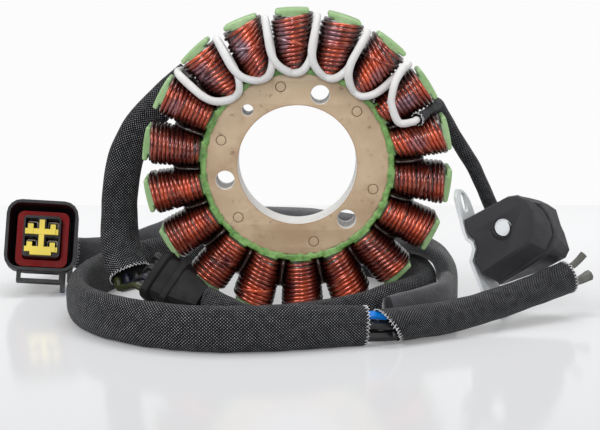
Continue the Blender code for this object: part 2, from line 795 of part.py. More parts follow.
def sleeve_rows():
    """The sampled points of each sleeve, from its route and the spacing that its bends need."""
    turn = Matrix.Rotation(radians(PULSER_YAW_DEG), 3, "Z")
    start = GROMMET_CENTRE + GROMMET_AXIS * (GROMMET_LENGTH + SEAT_GAP)
    entry = PULSER_FOOT + turn @ Vector((PULSER_ENTRY[0], PULSER_DEPTH + SEAT_GAP, PULSER_ENTRY[1]))
    return {
        "main_sleeve": [(*start, 0.66), *smooth_path(MAIN_ROUTE, MAIN_SPACING)],
        "connector_sleeve": smooth_path(CONNECTOR_ROUTE, BRANCH_SPACING),
        "lead_sleeve": smooth_path(LEAD_ROUTE, LEAD_SPACING),
        "split_sleeve": smooth_path(SPLIT_ROUTE, SPLIT_SPACING),
        "pulser_sleeve": [*smooth_path(PULSER_LEAD_ROUTE, PULSER_LEAD_SPACING), entry],
    }


def make_sleeves(material, rows):
    main = oval_section("main_section", MAIN_HALF_HEIGHT, MAIN_HALF_THICK)
    branch = oval_section("branch_section", BRANCH_HALF_HEIGHT, BRANCH_HALF_THICK)
    lead = oval_section("lead_section", LEAD_HALF_WIDTH, LEAD_HALF_THICK)
    tube("main_sleeve", rows["main_sleeve"], material, section=main)
    tube("connector_sleeve", rows["connector_sleeve"], material, section=branch)
    tube("lead_sleeve", rows["lead_sleeve"], material, section=lead, twist="MINIMUM")
    tube("split_sleeve", rows["split_sleeve"], material, radius=SPLIT_RADIUS, resolution=4)
    tube("pulser_sleeve", rows["pulser_sleeve"], material, radius=PULSER_LEAD_RADIUS)


def make_lead_tube(material, rows):
    tube("lead_tube", lead_tube_rows(rows["pulser_sleeve"]), material, radius=LEAD_TUBE_RADIUS)


def wire_between(name, start, leave, end, arrive, radius, material, slack=0.35):
    """A short lead from one mouth to another, leaving and arriving square to them."""
    reach = (end - start).length * slack
    route = (
        start + leave * radius,
        start + leave * reach * 0.5,
        end + arrive * reach * 0.5,
        end + arrive * radius,
    )
    middle = smooth_path([tuple(p) for p in route], WIRE_SPACING)
    tube(name, [start, *middle, end], material, radius=radius)


def make_grommet(material):
    """Two flanges with a waist between them and a tapered tail, lofted along the lead's own way."""
    across = GROMMET_AXIS.cross(GROMMET_LONG).normalized()
    half_long = FLANGE_LENGTH / 2
    half_deep = FLANGE_DEPTH / 2
    second = FLANGE_THICKNESS + GROMMET_WAIST
    tail = second + FLANGE_THICKNESS
    stations = (
        (0.0, 0.94, 0.92),
        (GROMMET_EDGE, 1.0, 1.0),
        (FLANGE_THICKNESS - GROMMET_EDGE, 1.0, 1.0),
        (FLANGE_THICKNESS, 0.96, 0.95),
        (FLANGE_THICKNESS + GROMMET_EDGE, 0.84, 0.80),
        (second - GROMMET_EDGE, 0.80, 0.78),
        (second, 0.90, 0.92),
        (second + GROMMET_EDGE, 0.94, 0.96),
        (tail - GROMMET_EDGE, 0.92, 0.94),
        (tail, 0.72, 0.84),
        (tail + GROMMET_TAIL * 0.5, 0.62, 0.76),
        (tail + GROMMET_TAIL, 0.46, 0.62),
    )
    rings = []
    for distance, share_long, share_deep in stations:
        ring = []
        for i in range(GROMMET_POINTS):
            turn = 2 * pi * (i + 0.5) / GROMMET_POINTS
            along = abs(cos(turn)) ** GROMMET_ROUNDNESS * (1 if cos(turn) > 0 else -1)
            out = abs(sin(turn)) ** GROMMET_ROUNDNESS * (1 if sin(turn) > 0 else -1)
            ring.append(
                GROMMET_CENTRE
                + GROMMET_AXIS * distance
                + GROMMET_LONG * half_long * share_long * along
                + across * half_deep * share_deep * out
            )
        rings.append(ring)
    shade_round(loft("grommet", rings, material))


def make_lead_wires(paints, rows):
    """The stator's own leads between the lead sleeve's mouth and the grommet's face."""
    mouth, way = beyond(rows["lead_sleeve"], True)
    side = way.cross(Vector((0, 0, 1))).normalized()
    up = side.cross(way).normalized()
    across = GROMMET_AXIS.cross(GROMMET_LONG).normalized()
    face = GROMMET_CENTRE - GROMMET_AXIS * SEAT_GAP
    leads = (
        ("lead_black_upper", -0.0052, 0.0010, -0.0060, -0.0004, "black"),
        ("lead_black_lower", -0.0017, 0.0008, -0.0019, 0.0004, "black"),
        ("lead_navy", 0.0018, 0.0, 0.0022, 0.0006, "navy"),
        ("lead_olive", 0.0050, -0.0014, 0.0063, -0.0002, "olive"),
    )
    for name, out_side, out_up, along, deep, colour in leads:
        start = mouth + side * out_side + up * out_up
        end = face + GROMMET_LONG * along + across * deep
        wire_between(name, start, way, end, -GROMMET_AXIS, WIRE_RADIUS, paints[colour])


def make_split_wires(paints, rows):
    """Where the main sleeve ends: three leads go on into the split sleeve, two into the connector's."""
    cut, way = beyond(rows["main_sleeve"], True)
    side = way.cross(Vector((0, 0, 1))).normalized()
    mouth, out = beyond(rows["split_sleeve"], False)
    mouth_side = out.cross(Vector((0, 0, -1))).normalized()
    leads = (
        ("split_blue", -0.0006, 0.0034, -0.0010, 0.0030, WIRE_RADIUS, "blue"),
        ("split_black_upper", 0.0008, 0.0002, 0.0012, 0.0000, WIRE_RADIUS, "black"),
        ("split_black_lower", 0.0004, -0.0036, 0.0004, -0.0034, THICK_WIRE_RADIUS, "black"),
    )
    for name, near_side, near_up, far_side, far_up, radius, colour in leads:
        start = cut + side * near_side + Vector((0, 0, near_up))
        end = mouth + mouth_side * far_side + Vector((0, 0, far_up))
        wire_between(name, start, way, end, out, radius, paints[colour])


def make_end_tabs(material, rows):
    """Two dark lead ends standing out of the split sleeve's far end."""
    tip, way = beyond(rows["split_sleeve"], True)
    above = way.cross(Vector((0, 0, 1))).cross(way).normalized()
    for name, lift, radius, steps in END_TABS:
        base = tip + above * lift
        start = base + way * radius
        route = []
        for out, sideways, up, size in steps:
            route.append((*(start + way * out + Vector((0, sideways, up))), size))
        tube(name, [base, *smooth_path(route, TAB_SPACING)], material, radius=radius)


def rounded_square(half_width, half_height, corner, steps=4):
    points = []
    for quarter, (cx, cz) in enumerate(((1, 1), (-1, 1), (-1, -1), (1, -1))):
        for step in range(steps + 1):
            turn = pi / 2 * (quarter + step / steps)
            points.append(
                (
                    cx * (half_width - corner) + corner * cos(turn),
                    cz * (half_height - corner) + corner * sin(turn),
                )
            )
    return points


def local_prism(name, outline, front, back, material, parent, group=PARTS):
    """A prism along the parent's own Y from one depth to another."""
    obj = flat_outline(name, [outline], back - front, group, material)
    obj.parent = parent
    obj.location = (0, (front + back) / 2, 0)
    return as_mesh(obj)


def local_empty(name, location, rotation):
    empty = bpy.data.objects.new(name, None)
    bpy.data.collections[HELPERS].objects.link(empty)
    empty.location = location
    empty.rotation_euler = rotation
    return empty


def terminal_places():
    return [
        (across * WAY_PITCH_X / 2, WAY_RAISE + up * WAY_PITCH_Z / 2)
        for up in (1, -1)
        for across in (-1, 1)
    ]


def shell_form(name, stations, material, parent, group):
    """The hood's outer or inner form, lofted through its depths, half widths, half heights and corners."""
    rings = []
    for depth, half_width, half_height, corner in stations:
        outline = rounded_square(half_width, half_height, corner)
        rings.append([(x, depth, z) for x, z in outline])
    form = loft(name, rings, material, group)
    form.parent = parent
    return form


def make_connector(paints):
    """A sealed four-way connector: its shroud, core block, seal, retainer, terminals and latch."""
    turn = tuple(
        radians(angle) for angle in (CONNECTOR_PITCH_DEG, CONNECTOR_ROLL_DEG, CONNECTOR_YAW_DEG)
    )
    empty = local_empty("connector_place", CONNECTOR_FRONT, turn)
    mouth = SHELL_WIDTH / 2
    rear = (REAR_WIDTH / 2, REAR_HEIGHT / 2)
    collar = (COLLAR_WIDTH / 2, COLLAR_HEIGHT / 2)
    outer = (
        (0.0, mouth, mouth, SHELL_CORNER),
        (HOOD_DEPTH, mouth, mouth, SHELL_CORNER),
        (SHOULDER_DEPTH, *rear, SHELL_CORNER),
        (COLLAR_DEPTH, *rear, SHELL_CORNER),
        (COLLAR_DEPTH + COLLAR_TAPER, *collar, COLLAR_CORNER),
        (SHELL_DEPTH, *collar, COLLAR_CORNER),
    )
    shell = shell_form("connector_housing", outer, paints["black"], empty, PARTS)
    mouth -= SHELL_WALL
    rear = [size - REAR_WALL for size in rear]
    inner = (
        (-CUT_START, mouth, mouth, SHELL_CORNER - SHELL_WALL),
        (HOOD_DEPTH, mouth, mouth, SHELL_CORNER - SHELL_WALL),
        (SHOULDER_DEPTH, *rear, SHELL_CORNER - REAR_WALL),
        (SHELL_CAVITY, *rear, SHELL_CORNER - REAR_WALL),
    )
    hollow = shell_form("shroud_hollow", inner, None, empty, HELPERS)
    boolean(shell, helper(hollow))
    block_half = (CORE_BLOCK_WIDTH / 2, CORE_BLOCK_HEIGHT / 2)
    block = local_prism(
        "core_block",
        rounded_square(*block_half, CORE_BLOCK_CORNER, 2),
        CORE_BLOCK_RECESS,
        SHELL_CAVITY + CUT_START,
        None,
        empty,
        HELPERS,
    )
    boolean(shell, helper(block), "UNION")
    side = WAY_SIDE / 2
    for number, (x, z) in enumerate(terminal_places(), 1):
        square = rectangle(x - side, x + side, z - side, z + side)
        cut = local_prism(f"way_{number}", square, -CUT_START, WAY_DEPTH, None, empty, HELPERS)
        boolean(shell, helper(cut))
    make_latch_loop(shell, empty)
    seal_out = [value + SEAL_THICKNESS for value in block_half]
    ring = flat_outline(
        "connector_seal",
        [
            rounded_square(*seal_out, SEAL_CORNER),
            rounded_square(block_half[0] + SEAT_GAP, block_half[1] + SEAT_GAP, SEAL_INNER_CORNER),
        ],
        SEAL_DEPTH,
        PARTS,
        paints["red"],
    )
    ring.parent = empty
    ring.location = (0, SHELL_CAVITY - SEAT_GAP - SEAL_DEPTH / 2 - SEAL_SETBACK, 0)
    make_retainer(paints["yellow"], empty)
    for number, (x, z) in enumerate(terminal_places(), 1):
        half_blade = side - SEAT_GAP
        blade = rounded_square(half_blade, half_blade, TERMINAL_CORNER, 1)
        half_hole = half_blade - TERMINAL_WALL
        hole = rounded_square(half_hole, half_hole, TERMINAL_HOLE_CORNER, 1)
        pin = flat_outline(
            f"terminal_{number}",
            [[(x + px, z + pz) for px, pz in blade], [(x + px, z + pz) for px, pz in hole]],
            TERMINAL_LENGTH,
            PARTS,
            paints["tin"],
        )
        pin.parent = empty
        pin.location = (0, TERMINAL_MIDDLE, 0)


def rectangle(left, right, low, high):
    return [(left, low), (right, low), (right, high), (left, high)]


def make_latch_loop(shell, empty):
    """The loop under the shroud that the mating half's latch snaps into."""
    outlines = [rectangle(*LATCH_LOOP), rectangle(*LATCH_OPENING)]
    loop = flat_outline("latch_loop", outlines, LATCH_DEPTH, HELPERS)
    loop.parent = empty
    loop.location = (0, LATCH_MIDDLE, 0)
    boolean(shell, helper(as_mesh(loop)), "UNION")
    low = LATCH_MIDDLE - LATCH_LEG_DEPTH / 2
    for name, bar in (("latch_leg", LATCH_LEG), ("latch_fin", LATCH_FIN)):
        leg = local_prism(name, rectangle(*bar), low, low + LATCH_LEG_DEPTH, None, empty, HELPERS)
        boolean(shell, helper(leg), "UNION")


def make_retainer(material, empty):
    """The yellow double-cross plate that locks the terminals, in front of the core block."""
    back = CORE_BLOCK_RECESS - SEAT_GAP
    front = back - RETAINER_THICKNESS
    plate = local_prism("connector_retainer", rectangle(*RETAINER_BARS[0]), front, back, material, empty)
    for number, bar in enumerate(RETAINER_BARS[1:], 1):
        step = front - RETAINER_STEP * number
        piece = local_prism(f"retainer_bar_{number}", rectangle(*bar), step, back, None, empty, HELPERS)
        boolean(plate, helper(piece), "UNION")


def make_connector_wires(paints, rows):
    """Four leads from the connector's rear to its sleeve."""
    bpy.context.view_layer.update()
    matrix = bpy.data.objects["connector_place"].matrix_world
    mouth, way = beyond(rows["connector_sleeve"], True)
    side = way.cross(Vector((0, 0, 1))).normalized()
    back = (matrix.to_3x3() @ Vector((0, 1, 0))).normalized()
    ways = zip(terminal_places(), CONNECTOR_WIRE_COLOURS, CONNECTOR_WIRE_SPREAD)
    for number, ((x, z), colour, (across, up)) in enumerate(ways, 1):
        start = matrix @ Vector((x, SHELL_DEPTH + SEAT_GAP, z))
        end = mouth + side * across + Vector((0, 0, up))
        leaving = [start + back * distance for distance in CONNECTOR_WIRE_STRAIGHT]
        route = leaving + [end + way * distance for distance in CONNECTOR_WIRE_ARRIVAL]
        path = smooth_path([tuple(p) for p in route], WIRE_SPACING)
        rows_of_wire = [start, *path, end]
        tube(f"connector_wire_{number}", rows_of_wire, paints[colour], radius=CONNECTOR_WIRE_RADIUS)


def make_pulser(paints):
    """The pick-up coil's body on its bent bracket, with the steel pole that faces the rotor."""
    empty = local_empty("pulser_place", PULSER_FOOT, (0, 0, radians(PULSER_YAW_DEG)))
    make_bracket(paints["steel"], empty)
    body = pulser_half("pulser_body", 0.0, BODY_BACK, BODY_FRONT_SIDES, BODY_BACK_SIDES, paints, empty)
    hole = helper(cylinder("pole_hole", POLE_RADIUS, -CUT_START, POLE_DEPTH, POLE_CENTRE, 24))
    hole.parent = empty
    boolean(body, hole)
    pole = cylinder(
        "pulser_pole", POLE_RADIUS - SEAT_GAP, POLE_RECESS, POLE_DEPTH - SEAT_GAP, POLE_CENTRE, 24, PARTS
    )
    pole.data.materials.append(paints["steel"])
    pole.parent = empty
    front = BODY_BACK + SEAT_GAP
    pulser_half("pulser_cover", front, PULSER_DEPTH, COVER_FRONT_SIDES, COVER_BACK_SIDES, paints, empty)


def pulser_half(name, front, back, front_sides, back_sides, paints, empty):
    """A moulded half, lofted from its front outline to its back one, with eased edges at both ends."""
    stations = []
    for depth, share, eased in (
        (front, 0.0, True),
        (front + PULSER_EDGE, PULSER_EDGE / (back - front), False),
        (back - PULSER_EDGE, 1 - PULSER_EDGE / (back - front), False),
        (back, 1.0, True),
    ):
        sides = [Vector(a).lerp(Vector(b), share) for a, b in zip(front_sides, back_sides)]
        outline = [*sides, *(Vector(point) for point in PULSER_BRACKET_SIDE)]
        if eased:
            outline = pulled_in(outline, PULSER_EDGE)
        stations.append([(point.x, depth, point.y) for point in outline])
    half = loft(name, stations, paints["black"])
    half.parent = empty
    return half


def pulled_in(outline, distance):
    """The outline with each point moved towards its middle by a fixed distance."""
    middle = sum(outline, Vector((0, 0))) / len(outline)
    return [point + (middle - point).normalized() * distance for point in outline]


def make_bracket(material, empty):
    """A bent sheet: its rounded lug with the oval fixing hole on top, the foot on the floor."""
    half = BRACKET_THICKNESS / 2
    left = []
    right = []
    for i, point in enumerate(BRACKET_LINE):
        before = BRACKET_LINE[max(0, i - 1)]
        after = BRACKET_LINE[min(len(BRACKET_LINE) - 1, i + 1)]
        run = Vector(after) - Vector(before)
        normal = Vector((run.y, -run.x)).normalized() * half
        left.append((point[0] + normal.x, point[1] + normal.y))
        right.append((point[0] - normal.x, point[1] - normal.y))
    bracket = local_prism("pulser_bracket", left + right[::-1], 0.0, PULSER_DEPTH, material, empty)
    blank = sideways_prism("bracket_blank", BRACKET_OUTLINE, BRACKET_BLANK_WIDTH, empty)
    boolean(bracket, blank, "INTERSECT")
    top, bend = (Vector(point) for point in BRACKET_LINE[:2])
    share = (SLOT_CENTRE[1] - bend.y) / (top.y - bend.y)
    slot = [
        (SLOT_CENTRE[0] + across, SLOT_CENTRE[1] + up)
        for across, up in rounded_square(SLOT_HALF_WIDTH, SLOT_HALF_HEIGHT, SLOT_HALF_WIDTH)
    ]
    middle = bend.lerp(top, share)
    boolean(bracket, sideways_prism("bracket_slot", slot, SLOT_CUT_LENGTH, empty, middle.x))


def sideways_prism(name, outline, width, parent, middle=0.0):
    """A cutter along the parent's own X, its outline given as depth and height."""
    obj = flat_outline(name, [outline], width, HELPERS)
    obj.parent = parent
    obj.location = (middle, 0, 0)
    obj.rotation_euler = (pi / 2, 0, pi / 2)
    return helper(as_mesh(obj))


def main():
    clear_scene()
    paints = {
        "coat": finish_material("green_coat", (0.24, 0.46, 0.17), 0.45),
        "enamel": finish_material("enamelled_wire", (0.30, 0.06, 0.03), 0.3, 0.4),
        "white": finish_material("white_sleeving", (0.8, 0.8, 0.78), 0.6),
        "braid": finish_material("braided_sleeve", (0.03, 0.03, 0.035), 0.55),
        "black": finish_material("black_plastic", (0.02, 0.02, 0.022), 0.4),
        "rubber": finish_material("black_rubber", (0.018, 0.018, 0.02), 0.6),
        "navy": finish_material("navy_lead", (0.02, 0.03, 0.09), 0.4),
        "olive": finish_material("olive_lead", (0.22, 0.26, 0.03), 0.4),
        "blue": finish_material("blue_lead", (0.0, 0.16, 0.6), 0.4),
        "red": finish_material("red_seal", (0.35, 0.02, 0.015), 0.4),
        "yellow": finish_material("yellow_retainer", (0.75, 0.6, 0.1), 0.4),
        "tin": finish_material("tinned_terminal", (0.5, 0.45, 0.35), 0.35, 1.0),
        "steel": finish_material("plated_steel", (0.6, 0.62, 0.62), 0.3, 1.0),
    }
    make_core(paints["coat"])
    make_coils(paints["enamel"])
    rows = sleeve_rows()
    make_sleeves(paints["braid"], rows)
    make_lead_tube(paints["white"], rows)
    make_grommet(paints["rubber"])
    make_lead_wires(paints, rows)
    make_split_wires(paints, rows)
    make_end_tabs(paints["rubber"], rows)
    make_connector(paints)
    make_connector_wires(paints, rows)
    make_pulser(paints)


main()
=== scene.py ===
import math
import random

import bmesh
import bpy
import numpy as np
from mathutils import Matrix, Vector


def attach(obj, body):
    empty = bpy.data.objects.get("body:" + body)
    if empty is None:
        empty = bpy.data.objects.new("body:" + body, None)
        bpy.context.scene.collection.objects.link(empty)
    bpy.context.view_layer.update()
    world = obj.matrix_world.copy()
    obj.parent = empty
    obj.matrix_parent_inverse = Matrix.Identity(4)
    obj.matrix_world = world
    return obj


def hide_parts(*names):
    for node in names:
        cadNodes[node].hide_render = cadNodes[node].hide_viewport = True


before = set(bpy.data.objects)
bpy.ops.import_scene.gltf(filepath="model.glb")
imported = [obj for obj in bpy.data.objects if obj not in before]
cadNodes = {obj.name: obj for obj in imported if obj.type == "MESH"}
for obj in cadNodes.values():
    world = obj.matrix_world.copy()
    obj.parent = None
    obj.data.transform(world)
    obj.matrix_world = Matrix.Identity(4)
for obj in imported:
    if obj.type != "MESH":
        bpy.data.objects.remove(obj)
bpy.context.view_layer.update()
print("frame loaded:", len(cadNodes), "nodes")


# Small helpers for meshes

def meshPiece(name, verts, faces, material, uvs=None, smooth=True):
    mesh = bpy.data.meshes.new(name)
    mesh.from_pydata([tuple(v) for v in verts], [], faces)
    if uvs is not None:
        layer = mesh.uv_layers.new(name="along")
        layer.data.foreach_set("uv", np.array(uvs, np.float32).ravel())
    if smooth:
        mesh.shade_smooth()
    mesh.update()
    piece = bpy.data.objects.new(name, mesh)
    bpy.context.scene.collection.objects.link(piece)
    if material:
        mesh.materials.append(material)
    return piece


def unit(v):
    return v / max(1e-12, np.linalg.norm(v))


def smoothRows(route, spacing):
    # the same smooth curve through the route's rows as the part's own cords follow
    rows = np.array(route, float)
    ends = np.vstack([2 * rows[0] - rows[1], rows, 2 * rows[-1] - rows[-2]])
    fine = []
    for i in range(len(rows) - 1):
        before, start, end, after = ends[i:i + 4]
        for step in range(16):
            t = step / 16
            fine.append(0.5 * (2 * start + (end - before) * t
                               + (2 * before - 5 * start + 4 * end - after) * t ** 2
                               + (3 * start - before - 3 * end + after) * t ** 3))
    fine.append(rows[-1])
    fine = np.array(fine)
    steps = np.linalg.norm(np.diff(fine[:, :3], axis=0), axis=1)
    travelled = np.concatenate([[0], np.cumsum(steps)])
    count = max(3, round(travelled[-1] / spacing))
    wanted = np.linspace(0, travelled[-1], count + 1)
    return np.stack([np.interp(wanted, travelled, fine[:, k]) for k in range(fine.shape[1])], axis=1)


def tangents(points):
    out = np.gradient(points, axis=0)
    return out / np.linalg.norm(out, axis=1)[:, None]


def carriedFrames(points, firstUp):
    # frames that turn as little as they can along the line
    along = tangents(points)
    up = unit(np.array(firstUp) - (np.array(firstUp) @ along[0]) * along[0])
    ups = [up]
    for t in along[1:]:
        up = unit(up - (up @ t) * t)
        ups.append(up)
    ups = np.array(ups)
    return along, ups, np.cross(along, ups)


def uprightFrames(points, rolls):
    # the section's height stands up, then rolls about the line
    along = tangents(points)
    vertical = np.array([0, 0, 1.0])
    ups = vertical - (along @ vertical)[:, None] * along
    ups /= np.linalg.norm(ups, axis=1)[:, None]
    sides = np.cross(along, ups)
    turn = np.radians(rolls)[:, None]
    return along, ups * np.cos(turn) + sides * np.sin(turn), sides * np.cos(turn) - ups * np.sin(turn)


def sweptPiece(name, points, ups, sides, sections, material, capStart=True, capEnd=True, uvScale=None):
    # sections: for each row, offsets (up, side) of the same count all round
    rows, count = len(points), len(sections[0])
    sections = np.array(sections)
    verts = (points[:, None, :] + sections[:, :, 0:1] * ups[:, None, :]
             + sections[:, :, 1:2] * sides[:, None, :]).reshape(-1, 3)
    faces, uvs = [], []
    lengths = np.concatenate([[0], np.cumsum(np.linalg.norm(np.diff(points, axis=0), axis=1))])
    if uvScale is None:
        ring = np.linalg.norm(np.diff(np.vstack([sections[rows // 2], sections[rows // 2][:1]]), axis=0), axis=1)
        uvScale = np.concatenate([[0], np.cumsum(ring)])
    for r in range(rows - 1):
        for i in range(count):
            j = (i + 1) % count
            faces.append((r * count + i, r * count + j, (r + 1) * count + j, (r + 1) * count + i))
            uvs += [(lengths[r], uvScale[i]), (lengths[r], uvScale[i + 1]),
                    (lengths[r + 1], uvScale[i + 1]), (lengths[r + 1], uvScale[i])]
    if capStart:
        faces.append(tuple(range(count))[::-1])
        uvs += [(0, 0)] * count
    if capEnd:
        faces.append(tuple((rows - 1) * count + i for i in range(count)))
        uvs += [(lengths[-1], 0)] * count
    piece = meshPiece(name, verts, faces, material, uvs)
    return outward(piece)


def outward(piece):
    work = bmesh.new()
    work.from_mesh(piece.data)
    bmesh.ops.recalc_face_normals(work, faces=work.faces)
    work.to_mesh(piece.data)
    work.free()
    return piece


def ringSection(radius, count):
    turn = np.linspace(0, 2 * math.pi, count, endpoint=False)
    return np.stack([radius * np.cos(turn), radius * np.sin(turn)], axis=1)


def roundedSection(halfUp, halfSide, count, power=2.4):
    turn = np.linspace(0, 2 * math.pi, count, endpoint=False)
    c, s = np.cos(turn), np.sin(turn)
    return np.stack([halfUp * np.sign(c) * np.abs(c) ** (2 / power),
                     halfSide * np.sign(s) * np.abs(s) ** (2 / power)], axis=1)


def joinPieces(name, parts):
    verts, faces, materials, slots, smooth = [], [], [], [], []
    for part in parts:
        base = len(verts)
        world = part.matrix_world
        verts += [tuple(world @ v.co) for v in part.data.vertices]
        for material in part.data.materials:
            if material not in materials:
                materials.append(material)
        for polygon in part.data.polygons:
            faces.append([base + i for i in polygon.vertices])
            slots.append(materials.index(part.data.materials[polygon.material_index]))
    uvs = []
    for part in parts:
        layer = part.data.uv_layers.active
        for k in range(len(part.data.loops)):
            uvs.append(tuple(layer.data[k].uv) if layer else (0, 0))
    piece = meshPiece(name, verts, faces, None, uvs)
    for material in materials:
        piece.data.materials.append(material)
    piece.data.polygons.foreach_set("material_index", slots)
    for part in parts:
        bpy.data.objects.remove(part)
    return piece


def finishPiece(piece, slotName, *replaced):
    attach(piece, "root")
    if replaced:
        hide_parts(*replaced)
    return piece


def dress(nodeName, material):
    node = cadNodes[nodeName]
    node.data.materials.clear()
    node.data.materials.append(material)
    for polygon in node.data.polygons:
        polygon.material_index = 0
    return node


# Small helpers for materials

def newMaterial(name, baseColor, roughness, **constants):
    material = bpy.data.materials.new(name)
    material.use_nodes = True
    shader = material.node_tree.nodes["Principled BSDF"]
    shader.inputs["Base Color"].default_value = (*baseColor, 1)
    shader.inputs["Roughness"].default_value = roughness
    for key, value in constants.items():
        shader.inputs[key.replace("_", " ")].default_value = value
    return material, material.node_tree, shader


def addNode(tree, kind, inputs=(), **settings):
    node = tree.nodes.new(kind)
    for key, value in settings.items():
        setattr(node, key, value)
    for key, value in dict(inputs).items():
        if hasattr(value, "links"):
            tree.links.new(value, node.inputs[key])
        else:
            node.inputs[key].default_value = value
    return node


def mathNode(tree, operation, first, second=0.0, clamp=False):
    node = addNode(tree, "ShaderNodeMath", {0: first, 1: second}, operation=operation, use_clamp=clamp)
    return node.outputs[0]


def mapRange(tree, value, low, high, outLow=0.0, outHigh=1.0):
    node = addNode(tree, "ShaderNodeMapRange", {"Value": value, "From Min": low, "From Max": high,
                                                "To Min": outLow, "To Max": outHigh})
    return node.outputs["Result"]


def mixColors(tree, factor, first, second):
    node = addNode(tree, "ShaderNodeMix", data_type="RGBA")
    for socket, value in ((node.inputs[0], factor), (node.inputs[6], first), (node.inputs[7], second)):
        if hasattr(value, "links"):
            tree.links.new(value, socket)
        else:
            socket.default_value = (*value, 1) if isinstance(value, tuple) and len(value) == 3 else value
    return node.outputs[2]


def noiseNode(tree, scale, detail=3.0, roughness=0.55, vector=None):
    node = addNode(tree, "ShaderNodeTexNoise", {"Scale": scale, "Detail": detail, "Roughness": roughness})
    if vector is None:
        vector = addNode(tree, "ShaderNodeTexCoord").outputs["Object"]
    tree.links.new(vector, node.inputs["Vector"])
    return node.outputs["Fac"]


def bumpInto(tree, shader, height, strength, distance):
    node = addNode(tree, "ShaderNodeBump", {"Strength": strength, "Distance": distance, "Height": height})
    tree.links.new(node.outputs["Normal"], shader.inputs["Normal"])
    return node


# Camera, floor and light

view = {
    "place": (0.00095, -0.58785, 0.1387),
    "pitchDown": 9.93,
    "lens": 100.02,
}


def makeCamera():
    data = bpy.data.cameras.new("photoCamera")
    data.lens = view["lens"]
    data.sensor_width = 36
    data.clip_start = 0.01
    data.clip_end = 20
    camera = bpy.data.objects.new("photoCamera", data)
    bpy.context.scene.collection.objects.link(camera)
    camera.location = view["place"]
    camera.rotation_euler = (math.radians(90 - view["pitchDown"]), 0, 0)
    bpy.context.scene.camera = camera


studio = {
    # painted shade: the floor's colour runs from darker near the camera to lighter further back
    "floorNear": (0.51, 0.515, 0.53),
    "floorFar": (0.74, 0.745, 0.755),
    "floorRoughness": 0.12,
    "floorLift": 0.15,
    "floorBack": 0.233,
    "floorReach": 0.75,
    "backdropWhite": (0.975, 0.975, 0.975),
    "ambient": 0.42,
    "glossyWhite": 0.50,
    "keyPower": 34.0,
    "fillPower": 12.0,
    "topPower": 34.0,
    "frontPower": 15.0,
}


def areaLamp(name, place, target, size, power, color=(1, 1, 1)):
    data = bpy.data.lights.new(name, "AREA")
    data.shape = "RECTANGLE"
    data.size, data.size_y = size
    data.energy = power
    data.color = color
    lamp = bpy.data.objects.new(name, data)
    bpy.context.scene.collection.objects.link(lamp)
    lamp.location = place
    lamp.rotation_euler = (Vector(target) - Vector(place)).to_track_quat("-Z", "Y").to_euler()
    return lamp


def makeStudio():
    material, tree, shader = newMaterial("whiteFloor", studio["floorFar"], studio["floorRoughness"], IOR=1.5)
    place = addNode(tree, "ShaderNodeSeparateXYZ", {0: addNode(tree, "ShaderNodeTexCoord").outputs["Object"]})
    # painted shade: darker towards the camera, lighter further back, by the floor's own y
    farther = mapRange(tree, place.outputs[1], -0.16, 0.16)
    tree.links.new(mixColors(tree, farther, studio["floorNear"], studio["floorFar"]), shader.inputs["Base Color"])
    path = addNode(tree, "ShaderNodeLightPath")
    lift = addNode(tree, "ShaderNodeEmission", {"Color": (1, 1, 1, 1), "Strength": studio["floorLift"]})
    both = addNode(tree, "ShaderNodeAddShader")
    pick = addNode(tree, "ShaderNodeMixShader")
    tree.links.new(shader.outputs[0], both.inputs[0])
    tree.links.new(lift.outputs[0], both.inputs[1])
    tree.links.new(path.outputs["Is Camera Ray"], pick.inputs[0])
    tree.links.new(shader.outputs[0], pick.inputs[1])
    tree.links.new(both.outputs[0], pick.inputs[2])
    tree.links.new(pick.outputs[0], tree.nodes["Material Output"].inputs[0])
    reach, back = studio["floorReach"], studio["floorBack"]
    floor = meshPiece("floor", [(-reach, -reach, 0), (reach, -reach, 0), (reach, back, 0), (-reach, back, 0)],
                      [(0, 1, 2, 3)], material)
    world = bpy.data.worlds.new("studioWorld")
    bpy.context.scene.world = world
    world.use_nodes = True
    tree = world.node_tree
    tree.nodes.clear()
    path = addNode(tree, "ShaderNodeLightPath")
    seen = mathNode(tree, "MAXIMUM", path.outputs["Is Camera Ray"], path.outputs["Is Transmission Ray"])
    white = addNode(tree, "ShaderNodeBackground", {"Color": (*studio["backdropWhite"], 1), "Strength": 1.0})
    mirrored = addNode(tree, "ShaderNodeBackground", {"Color": (1, 1, 1, 1), "Strength": studio["glossyWhite"]})
    around = addNode(tree, "ShaderNodeBackground", {"Color": (1, 1, 1, 1), "Strength": studio["ambient"]})
    first = addNode(tree, "ShaderNodeMixShader", {0: path.outputs["Is Glossy Ray"], 1: around.outputs[0],
                                                  2: mirrored.outputs[0]})
    second = addNode(tree, "ShaderNodeMixShader", {0: seen, 1: first.outputs[0], 2: white.outputs[0]})
    out = addNode(tree, "ShaderNodeOutputWorld")
    tree.links.new(second.outputs[0], out.inputs[0])
    areaLamp("keyLamp", (-1.5, -1.3, 2.0), (0, 0, 0.05), (1.2, 1.2), studio["keyPower"])
    areaLamp("fillLamp", (2.0, -1.2, 1.1), (0, 0, 0.05), (1.2, 1.2), studio["fillPower"])
    areaLamp("topLamp", (0.1, 0.5, 2.4), (0, 0, 0.0), (2.2, 1.2), studio["topPower"])
    areaLamp("frontLamp", (-0.15, -2.2, 0.75), (0, 0, 0.05), (0.45, 0.7), studio["frontPower"])
    bpy.context.scene.view_settings.view_transform = "Standard"


makeCamera()
makeStudio()
print("camera and studio ready")


# Finishes

